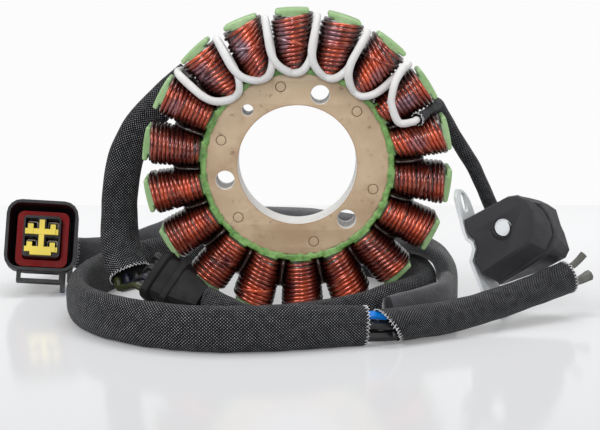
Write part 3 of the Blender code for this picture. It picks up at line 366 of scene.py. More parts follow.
def braidFinish(name, strand, shadedGapColor, strandColor, glintColor, sheen=0.05, bump=0.6):
    # two sets of yarns cross at a slant, and each crossing shows as one small bright dash, a painted glint; the gaps
    # between the yarns are painted shade
    material, tree, shader = newMaterial(name, strandColor, 0.5, Sheen_Weight=sheen, Sheen_Roughness=0.35,
                                         Specular_IOR_Level=0.15)
    uv = addNode(tree, "ShaderNodeUVMap", uv_map="along").outputs[0]
    split = addNode(tree, "ShaderNodeSeparateXYZ", {0: uv})
    wobble = mathNode(tree, "MULTIPLY", mathNode(tree, "SUBTRACT", noiseNode(tree, 700.0, 1.0), 0.5), 1.1)
    along = mathNode(tree, "COSINE", mathNode(tree, "ADD", mathNode(tree, "MULTIPLY", split.outputs[0],
                                                                    2 * math.pi / strand), wobble))
    around = mathNode(tree, "COSINE", mathNode(tree, "ADD", mathNode(tree, "MULTIPLY", split.outputs[1],
                                                                     2 * math.pi / strand), wobble))
    cell = mathNode(tree, "MULTIPLY", mathNode(tree, "SUBTRACT", around, along), 0.5)
    height = mathNode(tree, "ABSOLUTE", cell)
    # painted glints: a bright dash at each crossing, weaker on one yarn set, brighter in some patches
    firstSet = mapRange(tree, cell, 0.68, 0.88)
    secondSet = mathNode(tree, "MULTIPLY", mapRange(tree, mathNode(tree, "MULTIPLY", cell, -1.0), 0.68, 0.88), 0.75)
    glintPatches = mapRange(tree, noiseNode(tree, 420.0, 2.0), 0.32, 0.68, 0.40, 1.0)
    glint = mathNode(tree, "MULTIPLY", mathNode(tree, "MAXIMUM", firstSet, secondSet), glintPatches, True)
    # painted shade in the gaps between the yarns
    dark = mixColors(tree, height, shadedGapColor, strandColor)
    tree.links.new(mixColors(tree, glint, dark, glintColor), shader.inputs["Base Color"])
    tree.links.new(mapRange(tree, height, 0.0, 1.0, 0.8, 0.38), shader.inputs["Roughness"])
    bumpInto(tree, shader, height, bump, 0.0003)
    return material


def wireFinish(name, color, roughness=0.32):
    material, tree, shader = newMaterial(name, color, roughness, IOR=1.5)
    tone = mapRange(tree, noiseNode(tree, 350.0, 3.0), 0.3, 0.7, 0.0, 1.0)
    dimmer = tuple(c * 0.7 for c in color)
    tree.links.new(mixColors(tree, tone, dimmer, color), shader.inputs["Base Color"])
    tree.links.new(mapRange(tree, noiseNode(tree, 900.0, 2.0), 0.3, 0.7, roughness - 0.08, roughness + 0.12),
                   shader.inputs["Roughness"])
    bumpInto(tree, shader, noiseNode(tree, 700.0, 2.0), 0.08, 0.0002)
    return material


def enamelFinish():
    material, tree, shader = newMaterial("enamelledWire", (0.25, 0.04, 0.015), 0.24, Metallic=0.55, Coat_Weight=0.7,
                                         Coat_Roughness=0.05, Coat_IOR=1.5)
    # each turn has its own tone, and the varnish has run darker in places
    turnTone = addNode(tree, "ShaderNodeAttribute", attribute_name="tone").outputs["Fac"]
    varnish = mapRange(tree, noiseNode(tree, 90.0, 3.0), 0.36, 0.56)
    gleamStreak = mapRange(tree, noiseNode(tree, 260.0, 2.0), 0.35, 0.65)
    base = mixColors(tree, turnTone, (0.17, 0.012, 0.008), (0.60, 0.075, 0.020))
    base = mixColors(tree, varnish, (0.09, 0.009, 0.012), base)
    # painted shade: the flanks of each winding darken to near black, with the varnish darker there too
    shadedFlank = addNode(tree, "ShaderNodeAttribute", attribute_name="shadedFlank").outputs["Fac"]
    base = mixColors(tree, shadedFlank, base, (0.018, 0.003, 0.004))
    # painted reflection: violet-grey patches where the varnish film mirrors the lamp
    filmReflection = addNode(tree, "ShaderNodeAttribute", attribute_name="filmReflection").outputs["Fac"]
    uneven = mapRange(tree, noiseNode(tree, 380.0, 3.0), 0.30, 0.62)
    film = mixColors(tree, uneven, (0.10, 0.022, 0.035), (0.36, 0.25, 0.31))
    # painted highlight: bright orange streaks along the turns, fading out on the flanks
    gleam = mathNode(tree, "MULTIPLY", gleamStreak, mathNode(tree, "SUBTRACT", 0.28, mathNode(tree, "MULTIPLY", shadedFlank, 0.28)))
    base = mixColors(tree, gleam, base, (0.72, 0.16, 0.06))
    tree.links.new(mixColors(tree, filmReflection, base, film), shader.inputs["Base Color"])
    tree.links.new(mapRange(tree, noiseNode(tree, 200.0, 2.0), 0.3, 0.7, 0.15, 0.30), shader.inputs["Roughness"])
    bumpInto(tree, shader, noiseNode(tree, 500.0, 2.0), 0.06, 0.0002)
    return material


def varnishFinish(name, lightTone, darkTone, bump):
    # impregnating varnish: black where it fills the gaps, purple brown where it films the turns
    material, tree, shader = newMaterial(name, darkTone, 0.18, IOR=1.55, Coat_Weight=0.8, Coat_Roughness=0.05)
    tone = mapRange(tree, noiseNode(tree, 260.0, 3.0), 0.35, 0.7)
    tree.links.new(mixColors(tree, tone, darkTone, lightTone), shader.inputs["Base Color"])
    tree.links.new(mapRange(tree, noiseNode(tree, 420.0, 2.0), 0.3, 0.7, 0.06, 0.40), shader.inputs["Roughness"])
    bumpInto(tree, shader, noiseNode(tree, 520.0, 4.0), bump, 0.0006)
    return material


def awayFrom(tree, first, second, firstCentre, secondCentre):
    # how far a point of the face lies from a centre
    a = mathNode(tree, "SUBTRACT", first, firstCentre)
    b = mathNode(tree, "SUBTRACT", second, secondCentre)
    return mathNode(tree, "SQRT", mathNode(tree, "ADD", mathNode(tree, "MULTIPLY", a, a), mathNode(tree, "MULTIPLY", b, b)))


def coatFinish():
    material, tree, shader = newMaterial("greenCoat", (0.24, 0.44, 0.16), 0.42, IOR=1.5)
    tone = mapRange(tree, noiseNode(tree, 90.0, 4.0), 0.3, 0.7)
    coat = mixColors(tree, tone, (0.20, 0.36, 0.13), (0.37, 0.54, 0.28))
    # the coat is a deeper green and rougher on the yoke than on the caps
    place = addNode(tree, "ShaderNodeSeparateXYZ", {0: addNode(tree, "ShaderNodeTexCoord").outputs["Object"]})
    radius = awayFrom(tree, place.outputs[0], place.outputs[2], 0.0, 0.055)
    deep = mixColors(tree, mapRange(tree, noiseNode(tree, 420.0, 4.0, 0.7), 0.38, 0.62), (0.075, 0.20, 0.032), (0.22, 0.42, 0.12))
    coat = mixColors(tree, mapRange(tree, radius, 0.037, 0.045), deep, coat)
    scuffs = mapRange(tree, noiseNode(tree, 300.0, 4.0, 0.7), 0.60, 0.75)
    coat = mixColors(tree, mathNode(tree, "MULTIPLY", scuffs, 0.5), coat, (0.40, 0.34, 0.22))
    edges = addNode(tree, "ShaderNodeNewGeometry").outputs["Pointiness"]
    worn = mapRange(tree, edges, 0.53, 0.60, 0.0, 0.45)
    tree.links.new(mixColors(tree, worn, coat, (0.48, 0.62, 0.38)), shader.inputs["Base Color"])
    tree.links.new(mapRange(tree, noiseNode(tree, 300.0, 3.0), 0.3, 0.7, 0.30, 0.55), shader.inputs["Roughness"])
    bumpInto(tree, shader, noiseNode(tree, 520.0, 3.0), 0.5, 0.0005)
    return material


def bareRingFinish():
    material, tree, shader = newMaterial("bareLaminations", (0.50, 0.38, 0.25), 0.42, IOR=1.5)
    place = addNode(tree, "ShaderNodeTexCoord").outputs["Object"]
    split = addNode(tree, "ShaderNodeSeparateXYZ", {0: place})
    x, y, z = split.outputs[0], split.outputs[1], mathNode(tree, "SUBTRACT", split.outputs[2], 0.055)
    radius = mathNode(tree, "SQRT", mathNode(tree, "ADD", mathNode(tree, "MULTIPLY", x, x),
                                             mathNode(tree, "MULTIPLY", z, z)))
    stain = mapRange(tree, noiseNode(tree, 42.0, 5.0, 0.6), 0.36, 0.66)
    bare = mixColors(tree, stain, (0.41, 0.285, 0.175), (0.55, 0.42, 0.275))
    cloud = mapRange(tree, noiseNode(tree, 95.0, 4.0, 0.65), 0.56, 0.74)
    bare = mixColors(tree, mathNode(tree, "MULTIPLY", cloud, 0.6), bare, (0.30, 0.175, 0.10))
    spots = mapRange(tree, noiseNode(tree, 420.0, 3.0), 0.63, 0.72)
    bare = mixColors(tree, mathNode(tree, "MULTIPLY", spots, 0.55), bare, (0.13, 0.07, 0.035))
    # six pressed dimples: the angle is folded into one sixth, then measured from that dimple's centre
    sixth = math.pi / 3
    angle = mathNode(tree, "ARCTAN2", z, x)
    folded = mathNode(tree, "SUBTRACT", mathNode(tree, "FLOORED_MODULO", mathNode(
        tree, "SUBTRACT", angle, math.radians(42) - sixth / 2), sixth), sixth / 2)
    sideways = mathNode(tree, "MULTIPLY", radius, mathNode(tree, "SINE", folded))
    outwards = mathNode(tree, "SUBTRACT", mathNode(tree, "MULTIPLY", radius, mathNode(tree, "COSINE", folded)), 0.0281)
    apart = mathNode(tree, "SQRT", mathNode(tree, "ADD", mathNode(tree, "MULTIPLY", sideways, sideways),
                                            mathNode(tree, "MULTIPLY", outwards, outwards)))
    rim = mathNode(tree, "ABSOLUTE", mathNode(tree, "SUBTRACT", apart, 0.00172))
    bare = mixColors(tree, mapRange(tree, rim, 0.0, 0.00022, 0.75, 0.0), bare, (0.17, 0.095, 0.05))
    edge = mapRange(tree, radius, 0.03155, 0.0321, 0.0, 0.75)
    ragged = mathNode(tree, "MULTIPLY", edge, mapRange(tree, noiseNode(tree, 600.0, 3.0), 0.35, 0.6))
    bare = mixColors(tree, ragged, bare, (0.10, 0.07, 0.035))
    third = 2 * math.pi / 3
    turned = mathNode(tree, "SUBTRACT", mathNode(tree, "FLOORED_MODULO", mathNode(
        tree, "SUBTRACT", angle, math.radians(72) - third / 2), third), third / 2)
    bolt = awayFrom(tree, mathNode(tree, "MULTIPLY", radius, mathNode(tree, "COSINE", turned)),
                    mathNode(tree, "MULTIPLY", radius, mathNode(tree, "SINE", turned)), 0.026, 0.0)
    pin = awayFrom(tree, x, z, 0.026 * math.cos(math.radians(132)), 0.026 * math.sin(math.radians(132)))
    # the walls of the bore and of the bolt and pin holes show pale laminated sheets: partly the bare steel's own
    # colour, partly painted light on walls that lie in shade
    wall = mathNode(tree, "MAXIMUM", mathNode(tree, "LESS_THAN", radius, 0.02106), mathNode(
        tree, "MAXIMUM", mathNode(tree, "LESS_THAN", bolt, 0.00338), mathNode(tree, "LESS_THAN", pin, 0.00208)))
    stripe = mapRange(tree, mathNode(tree, "SINE", mathNode(tree, "MULTIPLY", y, 2 * math.pi / 0.0005)), -1.0, 1.0)
    litWallSheets = mixColors(tree, stripe, (0.60, 0.58, 0.55), (0.90, 0.89, 0.87))
    lip = mapRange(tree, mathNode(tree, "ABSOLUTE", mathNode(tree, "SUBTRACT", radius, 0.02118)), 0.0, 0.0003, 0.7, 0.0)
    bare = mixColors(tree, lip, bare, (0.33, 0.17, 0.08))
    tree.links.new(mixColors(tree, wall, bare, litWallSheets), shader.inputs["Base Color"])
    tree.links.new(mapRange(tree, noiseNode(tree, 200.0, 3.0), 0.3, 0.7, 0.34, 0.55), shader.inputs["Roughness"])
    grain = mathNode(tree, "ADD", mathNode(tree, "MULTIPLY", noiseNode(tree, 650.0, 2.0), 0.7),
                     mathNode(tree, "MULTIPLY", mathNode(tree, "MULTIPLY", stripe, wall), 0.6))
    bumpInto(tree, shader, grain, 0.22, 0.0003)
    return material


def whiteTubeFinish():
    material, tree, shader = newMaterial("wovenWhiteTube", (0.80, 0.80, 0.79), 0.62, Sheen_Weight=0.2)
    uv = addNode(tree, "ShaderNodeUVMap", uv_map="along").outputs[0]
    split = addNode(tree, "ShaderNodeSeparateXYZ", {0: uv})
    strand = 0.00055
    total = mathNode(tree, "DIVIDE", mathNode(tree, "ADD", split.outputs[0], split.outputs[1]), strand)
    spread = mathNode(tree, "DIVIDE", mathNode(tree, "SUBTRACT", split.outputs[0], split.outputs[1]), strand)
    weave = mathNode(tree, "ABSOLUTE", mathNode(
        tree, "MULTIPLY", mathNode(tree, "SINE", mathNode(tree, "MULTIPLY", total, math.pi)),
        mathNode(tree, "SINE", mathNode(tree, "MULTIPLY", spread, math.pi))))
    soil = mapRange(tree, noiseNode(tree, 120.0, 3.0), 0.4, 0.75)
    # painted shade in the weave's hollows: darker between the strands
    clean = mixColors(tree, weave, (0.60, 0.60, 0.60), (0.86, 0.86, 0.85))
    tree.links.new(mixColors(tree, mathNode(tree, "MULTIPLY", soil, 0.35), clean, (0.55, 0.48, 0.44)),
                   shader.inputs["Base Color"])
    bumpInto(tree, shader, weave, 0.5, 0.00015)
    return material


def mouldedFinish(name, color, roughness, grain=0.15, scale=2200.0, edge=None, shine=0.5):
    material, tree, shader = newMaterial(name, color, roughness, IOR=1.5, Specular_IOR_Level=shine)
    tone = mapRange(tree, noiseNode(tree, 60.0, 4.0), 0.3, 0.7)
    dimmer = tuple(c * 0.72 for c in color)
    mixed = mixColors(tree, tone, dimmer, color)
    # painted highlight: edges and corners, found by their pointiness, are lightened towards the edge colour
    if edge:
        corner = mapRange(tree, addNode(tree, "ShaderNodeNewGeometry").outputs["Pointiness"], 0.52, 0.62)
        mixed = mixColors(tree, corner, mixed, edge)
    tree.links.new(mixed, shader.inputs["Base Color"])
    tree.links.new(mapRange(tree, noiseNode(tree, 240.0, 4.0), 0.3, 0.7, roughness - 0.07, roughness + 0.10),
                   shader.inputs["Roughness"])
    bumpInto(tree, shader, noiseNode(tree, scale, 2.0), grain, 0.0001)
    return material


def platedFinish(name, color, roughness=0.28, metallic=1.0):
    material, tree, shader = newMaterial(name, color, roughness, Metallic=metallic)
    tone = mapRange(tree, noiseNode(tree, 120.0, 4.0), 0.3, 0.7)
    tree.links.new(mixColors(tree, tone, tuple(c * 0.82 for c in color), color), shader.inputs["Base Color"])
    tree.links.new(mapRange(tree, noiseNode(tree, 500.0, 3.0), 0.3, 0.7, roughness - 0.08, roughness + 0.14),
                   shader.inputs["Roughness"])
    bumpInto(tree, shader, noiseNode(tree, 1800.0, 2.0), 0.06, 0.0001)
    return material


finish = {
    "braid": braidFinish("braidedSleeve", 0.00108, (0.001, 0.001, 0.002), (0.005, 0.005, 0.006), (0.36, 0.365, 0.39), 0.06),
    "closeBraid": braidFinish("closeBraidedSleeve", 0.00084, (0.001, 0.001, 0.002), (0.007, 0.007, 0.008),
                              (0.30, 0.305, 0.33), 0.12),
    # the fine braid's strand colour is a lighter grey than the others': partly its own grey yarn, partly a painted
    # sheen
    "fineBraid": braidFinish("fineBraidedSleeve", 0.00080, (0.020, 0.020, 0.023), (0.075, 0.075, 0.084),
                             (0.26, 0.26, 0.28), 0.35, 0.4),
    "innerDark": mouldedFinish("sleeveInside", (0.01, 0.01, 0.011), 0.8),
    "fray": wireFinish("frayedYarn", (0.80, 0.80, 0.82), 0.5),
    "enamel": enamelFinish(),
    "varnish": varnishFinish("blackVarnish", (0.035, 0.014, 0.010), (0.006, 0.004, 0.004), 0.9),
    "film": varnishFinish("varnishFilm", (0.060, 0.016, 0.020), (0.012, 0.004, 0.005), 0.30),
    "coat": coatFinish(),
    "bareRing": bareRingFinish(),
    "whiteTube": whiteTubeFinish(),
    "rubber": mouldedFinish("blackRubber", (0.005, 0.005, 0.006), 0.62, shine=0.25),
    "plastic": mouldedFinish("blackMoulding", (0.009, 0.009, 0.011), 0.40, edge=(0.022, 0.022, 0.026),
                             shine=0.28),
    "pulser": mouldedFinish("pulserMoulding", (0.016, 0.015, 0.018), 0.50, 0.3, 900.0, (0.040, 0.039, 0.045)),
    "black": wireFinish("blackLead", (0.012, 0.012, 0.014)),
    "navy": wireFinish("navyLead", (0.004, 0.006, 0.022)),
    "olive": wireFinish("oliveLead", (0.030, 0.036, 0.006)),
    "blue": wireFinish("blueLead", (0.0, 0.22, 0.80)),
    "red": mouldedFinish("redSeal", (0.42, 0.004, 0.005), 0.42, shine=0.15),
    "yellow": mouldedFinish("yellowRetainer", (0.82, 0.64, 0.06), 0.42),
    # the terminals' tin is painted dark: painted shade for the deep sockets they sit in
    "tin": platedFinish("tinnedTerminal", (0.14, 0.12, 0.10), 0.35, 0.7),
    "tab": wireFinish("greyLeadTip", (0.10, 0.10, 0.085), 0.45),
    # near white with little metallic: the zinc's own light grey with a painted reflection of the white surroundings
    "zinc": platedFinish("zincPlate", (0.92, 0.95, 0.97), 0.38, 0.2),
}
print("finishes ready:", len(finish))


# Harness: braided sleeves. Rows are x, y, z, size and roll, as in the part

harness = {
    "rowSpacing": 0.0016,
    "pointsRound": 44,
    "mainHalf": (0.0078, 0.0042),
    "branchHalf": (0.0072, 0.0034),
    "leadHalf": (0.0066, 0.0038),
    "splitRadius": 0.00575,
    "pulserRadius": 0.0027,
    "lumps": 0.00014,
}
grommet = {
    "centre": np.array((-0.0489, -0.0190, 0.0175)),
    "axis": unit(np.array((0.79, -0.55, -0.27))),
    "long": unit(np.array((-0.53, -0.39, -0.75))),
    "length": 2 * 0.0030 + 0.0052 + 0.0105,
}
mainStart = grommet["centre"] + grommet["axis"] * (grommet["length"] + 0.0003)
mainRoute = (
    (*mainStart, 0.66, 0),
    (-0.0292, -0.0326, 0.0107, 0.70, 0),
    (-0.0240, -0.0362, 0.0088, 0.70, 0),
    (-0.0150, -0.0392, 0.0060, 0.73, 0),
    (-0.0030, -0.0395, 0.0063, 0.78, 0),
    (0.0100, -0.0368, 0.0068, 0.84, 0),
    (0.0220, -0.0315, 0.0073, 0.92, 0),
    (0.0310, -0.0240, 0.0080, 1.0, 0),
    (0.0394, -0.0134, 0.0080, 1.0, 0),
    (0.0455, -0.0010, 0.0080, 1.0, 0),
    (0.0470, 0.0130, 0.0080, 1.0, 0),
    (0.0453, 0.0280, 0.0080, 1.0, 0),
    (0.0400, 0.0440, 0.0080, 1.0, 0),
    (0.0300, 0.0590, 0.0080, 1.0, 0),
    (0.0165, 0.0710, 0.0080, 1.0, 0),
    (0.0000, 0.0780, 0.0080, 1.0, 0),
    (-0.0180, 0.0795, 0.0080, 1.0, 0),
    (-0.0360, 0.0750, 0.0080, 1.0, 0),
    (-0.0520, 0.0655, 0.0080, 1.0, 0),
    (-0.0645, 0.0510, 0.0080, 1.0, 0),
    (-0.0730, 0.0335, 0.0080, 1.0, 0),
    (-0.0775, 0.0140, 0.0080, 1.0, 0),
    (-0.0784, -0.0030, 0.0080, 1.0, 0),
    (-0.0768, -0.0160, 0.0080, 1.0, 0),
    (-0.0715, -0.0290, 0.0080, 1.0, 0),
    (-0.0625, -0.0405, 0.0080, 1.0, 0),
    (-0.0495, -0.0505, 0.0080, 1.0, 0),
    (-0.0335, -0.0568, 0.0080, 1.0, 0),
    (-0.0160, -0.0575, 0.0080, 1.0, 0),
    (0.0000, -0.0545, 0.0079, 0.99, 0),
    (0.0120, -0.0512, 0.0073, 0.92, 0),
    (0.0227, -0.0481, 0.0069, 0.86, 0),
)
connectorRoute = (
    (0.0308, -0.0348, 0.0073, 0.92, 0),
    (0.0360, -0.0306, 0.0074, 0.96, 0),
    (0.0426, -0.0248, 0.0074, 1.0, 0),
    (0.0492, -0.0152, 0.0074, 1.0, 0),
    (0.0532, -0.0055, 0.0077, 1.0, -3),
    (0.0545, 0.0030, 0.0092, 0.97, -14),
    (0.0537, 0.0100, 0.0157, 0.92, -48),
    (0.0502, 0.0175, 0.0190, 0.90, -76),
    (0.0456, 0.0260, 0.0198, 0.94, -90),
    (0.0418, 0.0375, 0.0199, 1.0, -90),
    (0.0360, 0.0500, 0.0199, 1.0, -90),
    (0.0280, 0.0630, 0.0199, 1.0, -90),
    (0.0160, 0.0738, 0.0203, 1.05, -90),
    (0.0000, 0.0790, 0.0210, 1.12, -90),
    (-0.0180, 0.0805, 0.0210, 1.12, -90),
    (-0.0320, 0.0822, 0.0201, 1.05, -94),
    (-0.0450, 0.0832, 0.0163, 1.0, -120),
    (-0.0570, 0.0790, 0.0112, 1.0, -155),
    (-0.0675, 0.0745, 0.0082, 1.0, -175),
    (-0.0770, 0.0710, 0.0076, 0.96, -180),
    (-0.0850, 0.0695, 0.0080, 0.90, -180),
    (-0.0888, 0.0686, 0.0084, 0.88, -180),
)
leadRoute = (
    (-0.0390, 0.0178, 0.0846, 0.80, 0),
    (-0.0447, 0.0180, 0.0794, 0.86, 0),
    (-0.0519, 0.0176, 0.0718, 0.94, 0),
    (-0.0580, 0.0166, 0.0640, 1.0, 0),
    (-0.0624, 0.0155, 0.0550, 1.0, 0),
    (-0.0645, 0.0148, 0.0450, 1.0, 0),
    (-0.0652, 0.0140, 0.0350, 1.02, 0),
    (-0.0650, 0.0122, 0.0255, 1.08, 0),
    (-0.0633, 0.0080, 0.0180, 1.14, 0),
    (-0.0605, 0.0030, 0.0135, 1.16, 0),
)
splitRoute = (
    (0.0313, -0.0454, 0.0064, 1.0, 0),
    (0.0400, -0.0408, 0.0064, 1.0, 0),
    (0.0520, -0.0340, 0.0066, 0.98, 0),
    (0.0650, -0.0258, 0.0080, 0.95, 0),
    (0.0780, -0.0177, 0.0103, 0.95, 0),
    (0.0880, -0.0113, 0.0125, 0.98, 0),
    (0.0960, -0.0064, 0.0144, 1.02, 0),
)
pulserRoute = (
    (0.0416, -0.0126, 0.0717, 0.88, 0),
    (0.0436, -0.0100, 0.0726, 0.78, 0),
    (0.0457, -0.0055, 0.0735, 0.56, 0),
    (0.0476, -0.0008, 0.0742, 0.66, 0),
    (0.0490, 0.0042, 0.0748, 0.84, 0),
    (0.0498, 0.0090, 0.0748, 0.94, 0),
    (0.0512, 0.0124, 0.0727, 1.0, 0),
    (0.0535, 0.0138, 0.0688, 1.0, 0),
    (0.0565, 0.0140, 0.0635, 1.0, 0),
    (0.0603, 0.0136, 0.0575, 1.0, 0),
    (0.0640, 0.0132, 0.0515, 1.0, 0),
    (0.0672, 0.0130, 0.0450, 1.0, 0),
    (0.0700, 0.0128, 0.0385, 1.0, 0),
    (0.0721, 0.0115, 0.0338, 1.0, 0),
    (0.0725, 0.0099, 0.0316, 1.0, 0),
    (0.0713, 0.0072, 0.0316, 1.0, 0),
)


def sleevePiece(name, route, half, frames, seed, openStart=False, openEnd=False, power=2.4, braid="braid", slant=0.0):
    rows = smoothRows(route, harness["rowSpacing"])
    points = rows[:, :3]
    along, ups, sides = frames(points, rows)
    for k in range(7):    # a start cut at a slant
        points[k] -= along[k] * slant * 0.0020 * (1 - k / 7)
        ups[k] -= along[k] * slant * (1 - k / 7)
    rng = random.Random(seed)
    count = harness["pointsRound"]
    phases = [rng.uniform(0, 6.28) for _ in range(6)]
    sections = []
    for k, row in enumerate(rows):
        section = roundedSection(half[0] * row[3], half[1] * row[3], count, power)
        turn = np.linspace(0, 2 * math.pi, count, endpoint=False)
        at = k * harness["rowSpacing"]
        lump = (np.sin(at * 260 + phases[0] + 2 * turn) + np.sin(at * 410 + phases[1] - 3 * turn)
                + 0.7 * np.sin(at * 690 + phases[2] + 5 * turn)) * harness["lumps"] / 2.7
        length = np.linalg.norm(section, axis=1)
        sections.append(section * (1 + (lump - harness["lumps"] / 2) / length)[:, None])
    outer = sweptPiece(name + "Outer", points, ups, sides, sections, finish[braid],
                       capStart=not openStart, capEnd=not openEnd)
    parts = [outer]
    for isOpen, end in ((openStart, 0), (openEnd, -1)):
        if isOpen:
            parts += mouthParts(name, points, ups, sides, sections, end, rng)
    return joinPieces(name, parts), points


def mouthParts(name, points, ups, sides, sections, end, rng):
    # a dark lining set back in the mouth, and the cut yarn ends round its rim
    depth = 7
    order = list(range(depth)) if end == 0 else list(range(len(points) - 1, len(points) - 1 - depth, -1))
    rim = order[0]
    inner = [sections[k] * (0.86 if k != rim else 0.97) for k in order]
    lining = sweptPiece(name + "Lining", points[order], ups[order], sides[order], inner, finish["innerDark"],
                        capStart=False, capEnd=True)
    lining.data.flip_normals()
    outwardStep = unit(points[order[0]] - points[order[1]])
    ring = points[rim] + sections[rim][:, :1] * ups[rim] + sections[rim][:, 1:] * sides[rim]
    closed = np.vstack([ring, ring[:1]])
    steps = np.linalg.norm(np.diff(closed, axis=0), axis=1)
    travelled = np.concatenate([[0], np.cumsum(steps)])
    strands = int(travelled[-1] / 0.00062)
    verts, faces = [], []
    for s in range(strands):
        at = (s + rng.uniform(-0.25, 0.25)) / strands * travelled[-1]
        base = np.array([np.interp(at, travelled, closed[:, k]) for k in range(3)])
        out = unit(base - points[rim])
        slide = unit(np.cross(outwardStep, out)) * (1 if s % 2 else -1)
        reach = rng.uniform(0.0002, 0.0008)
        tip = base + outwardStep * reach * 0.75 + slide * reach * 0.8 + out * rng.uniform(-0.0001, 0.0003)
        middle = (base + tip) / 2 + out * 0.00012
        thick = rng.uniform(0.00010, 0.00016)
        back = base - outwardStep * 0.0008 - slide * 0.0006 - out * 0.00002
        start = len(verts)
        for point, size in ((back, thick), (base, thick), (middle, thick), (tip, thick * 0.7)):
            direction = unit(tip - back)
            a = unit(np.cross(direction, out))
            b = np.cross(direction, a)
            for turn in (0, 2.094, 4.189):
                verts.append(point + (a * math.cos(turn) + b * math.sin(turn)) * size)
        for r in range(3):
            for i in range(3):
                j = (i + 1) % 3
                faces.append((start + 3 * r + i, start + 3 * r + j, start + 3 * r + 3 + j, start + 3 * r + 3 + i))
        faces.append((start + 2, start + 1, start))
        faces.append((start + 9, start + 10, start + 11))
    fray = meshPiece(name + "Fray", verts, faces, finish["fray"], np.zeros((sum(len(f) for f in faces), 2)))
    return [lining, outward(fray)]


def standing(points, rows):
    return uprightFrames(points, rows[:, 4])


def facing(points, rows):
    return carriedFrames(points, (1, 0, 0))


def makeSleeves():
    made = {}
    made["mainSleeve"] = sleevePiece("mainSleeve", mainRoute, harness["mainHalf"], standing, 3, openEnd=True)
    made["connectorSleeve"] = sleevePiece("connectorSleeve", connectorRoute, harness["branchHalf"], standing, 5,
                                          openEnd=True, braid="fineBraid")
    made["leadSleeve"] = sleevePiece("leadSleeve", leadRoute, harness["leadHalf"], facing, 7, openEnd=True)
    split = harness["splitRadius"]
    made["splitSleeve"] = sleevePiece("splitSleeve", splitRoute, (split, split), standing, 9, True, True, 2.0,
                                      "closeBraid", 0.65)
    pulser = harness["pulserRadius"]
    made["pulserSleeve"] = sleevePiece("pulserSleeve", pulserRoute, (pulser, pulser), facing, 11, True, False, 2.0,
                                       "closeBraid")
    for piece, node in (("mainSleeve", "main_sleeve"), ("connectorSleeve", "connector_sleeve"),
                        ("leadSleeve", "lead_sleeve"), ("splitSleeve", "split_sleeve"),
                        ("pulserSleeve", "pulser_sleeve")):
        finishPiece(made[piece][0], "braid", node)
    return made


def makeInnerLeads():
    # the three leads go on a little way inside the split sleeve's slanted mouth
    rows = smoothRows(splitRoute, harness["rowSpacing"])[:8]
    points = rows[:, :3] - unit(rows[1, :3] - rows[0, :3]) * 0.0004
    along, ups, sides = standing(points, rows)
    for name, sideways, upwards, radius, kind, slotName in (
            ("blueLeadInSplit", -0.0010, 0.0030, 0.0014, "blue", "blue_lead"),
            ("upperLeadInSplit", 0.0012, 0.0, 0.0014, "black", "black_lead"),
            ("lowerLeadInSplit", 0.0004, -0.0034, 0.0019, "black", "black_lead")):
        line = points + ups * upwards + sides * sideways
        lead = sweptPiece(name, line, ups, sides, [ringSection(radius, 16)] * len(line), finish[kind])
        finishPiece(lead, slotName)


def lengthOf(points):
    return float(np.linalg.norm(np.diff(points, axis=0), axis=1).sum())


sleeves = makeSleeves()
makeInnerLeads()
for sleeveName, (sleeve, sleevePoints) in sleeves.items():
    print(sleeveName, round(lengthOf(sleevePoints) * 1000), "mm long")


# Plain CAD pieces that keep their shape

dress("grommet", finish["rubber"])
for nodeName in ("lead_black_upper", "lead_black_lower", "split_black_upper", "split_black_lower",
                 "connector_wire_1"):
    dress(nodeName, finish["black"])
for nodeName in ("end_tab_upper", "end_tab_lower"):
    dress(nodeName, finish["tab"])
for nodeName in ("lead_navy", "connector_wire_3"):
    dress(nodeName, finish["navy"])
for nodeName in ("lead_olive", "connector_wire_2"):
    dress(nodeName, finish["olive"])
for nodeName in ("split_blue", "connector_wire_4"):
    dress(nodeName, finish["blue"])
dress("connector_housing", finish["plastic"])
dress("connector_seal", finish["red"])
dress("connector_retainer", finish["yellow"])
for number in range(1, 5):
    dress(f"terminal_{number}", finish["tin"])
for nodeName in ("pulser_body", "pulser_cover"):
    dress(nodeName, finish["pulser"])
for nodeName in ("pulser_pole", "pulser_bracket"):
    dress(nodeName, finish["zinc"])


def easeEdges(nodeName, width, steps=2, angle=30.0):
    # small rounded edges, as a moulding or a pressing has
    ease = cadNodes[nodeName].modifiers.new("easedEdges", "BEVEL")
    ease.width = width
    ease.segments = steps
    ease.limit_method = "ANGLE"
    ease.angle_limit = math.radians(angle)
    ease.harden_normals = False
    soft = cadNodes[nodeName].modifiers.new("evenShading", "WEIGHTED_NORMAL")
    soft.keep_sharp = False


for nodeName, width in (("connector_housing", 0.00030), ("connector_retainer", 0.00012), ("pulser_body", 0.0018),
                        ("pulser_cover", 0.0007), ("pulser_bracket", 0.00015), ("pulser_pole", 0.00025),
                        ("grommet", 0.0005)):
    easeEdges(nodeName, width)


# A painted shadow round the pole's end, a dark crescent sheet at its lower side

poleShadow = {
    "recess": 0.0008,
    "holeRadius": 0.00342,
    "shadowRadius": 0.00385,
    "shift": (0.0003, -0.0008),
}


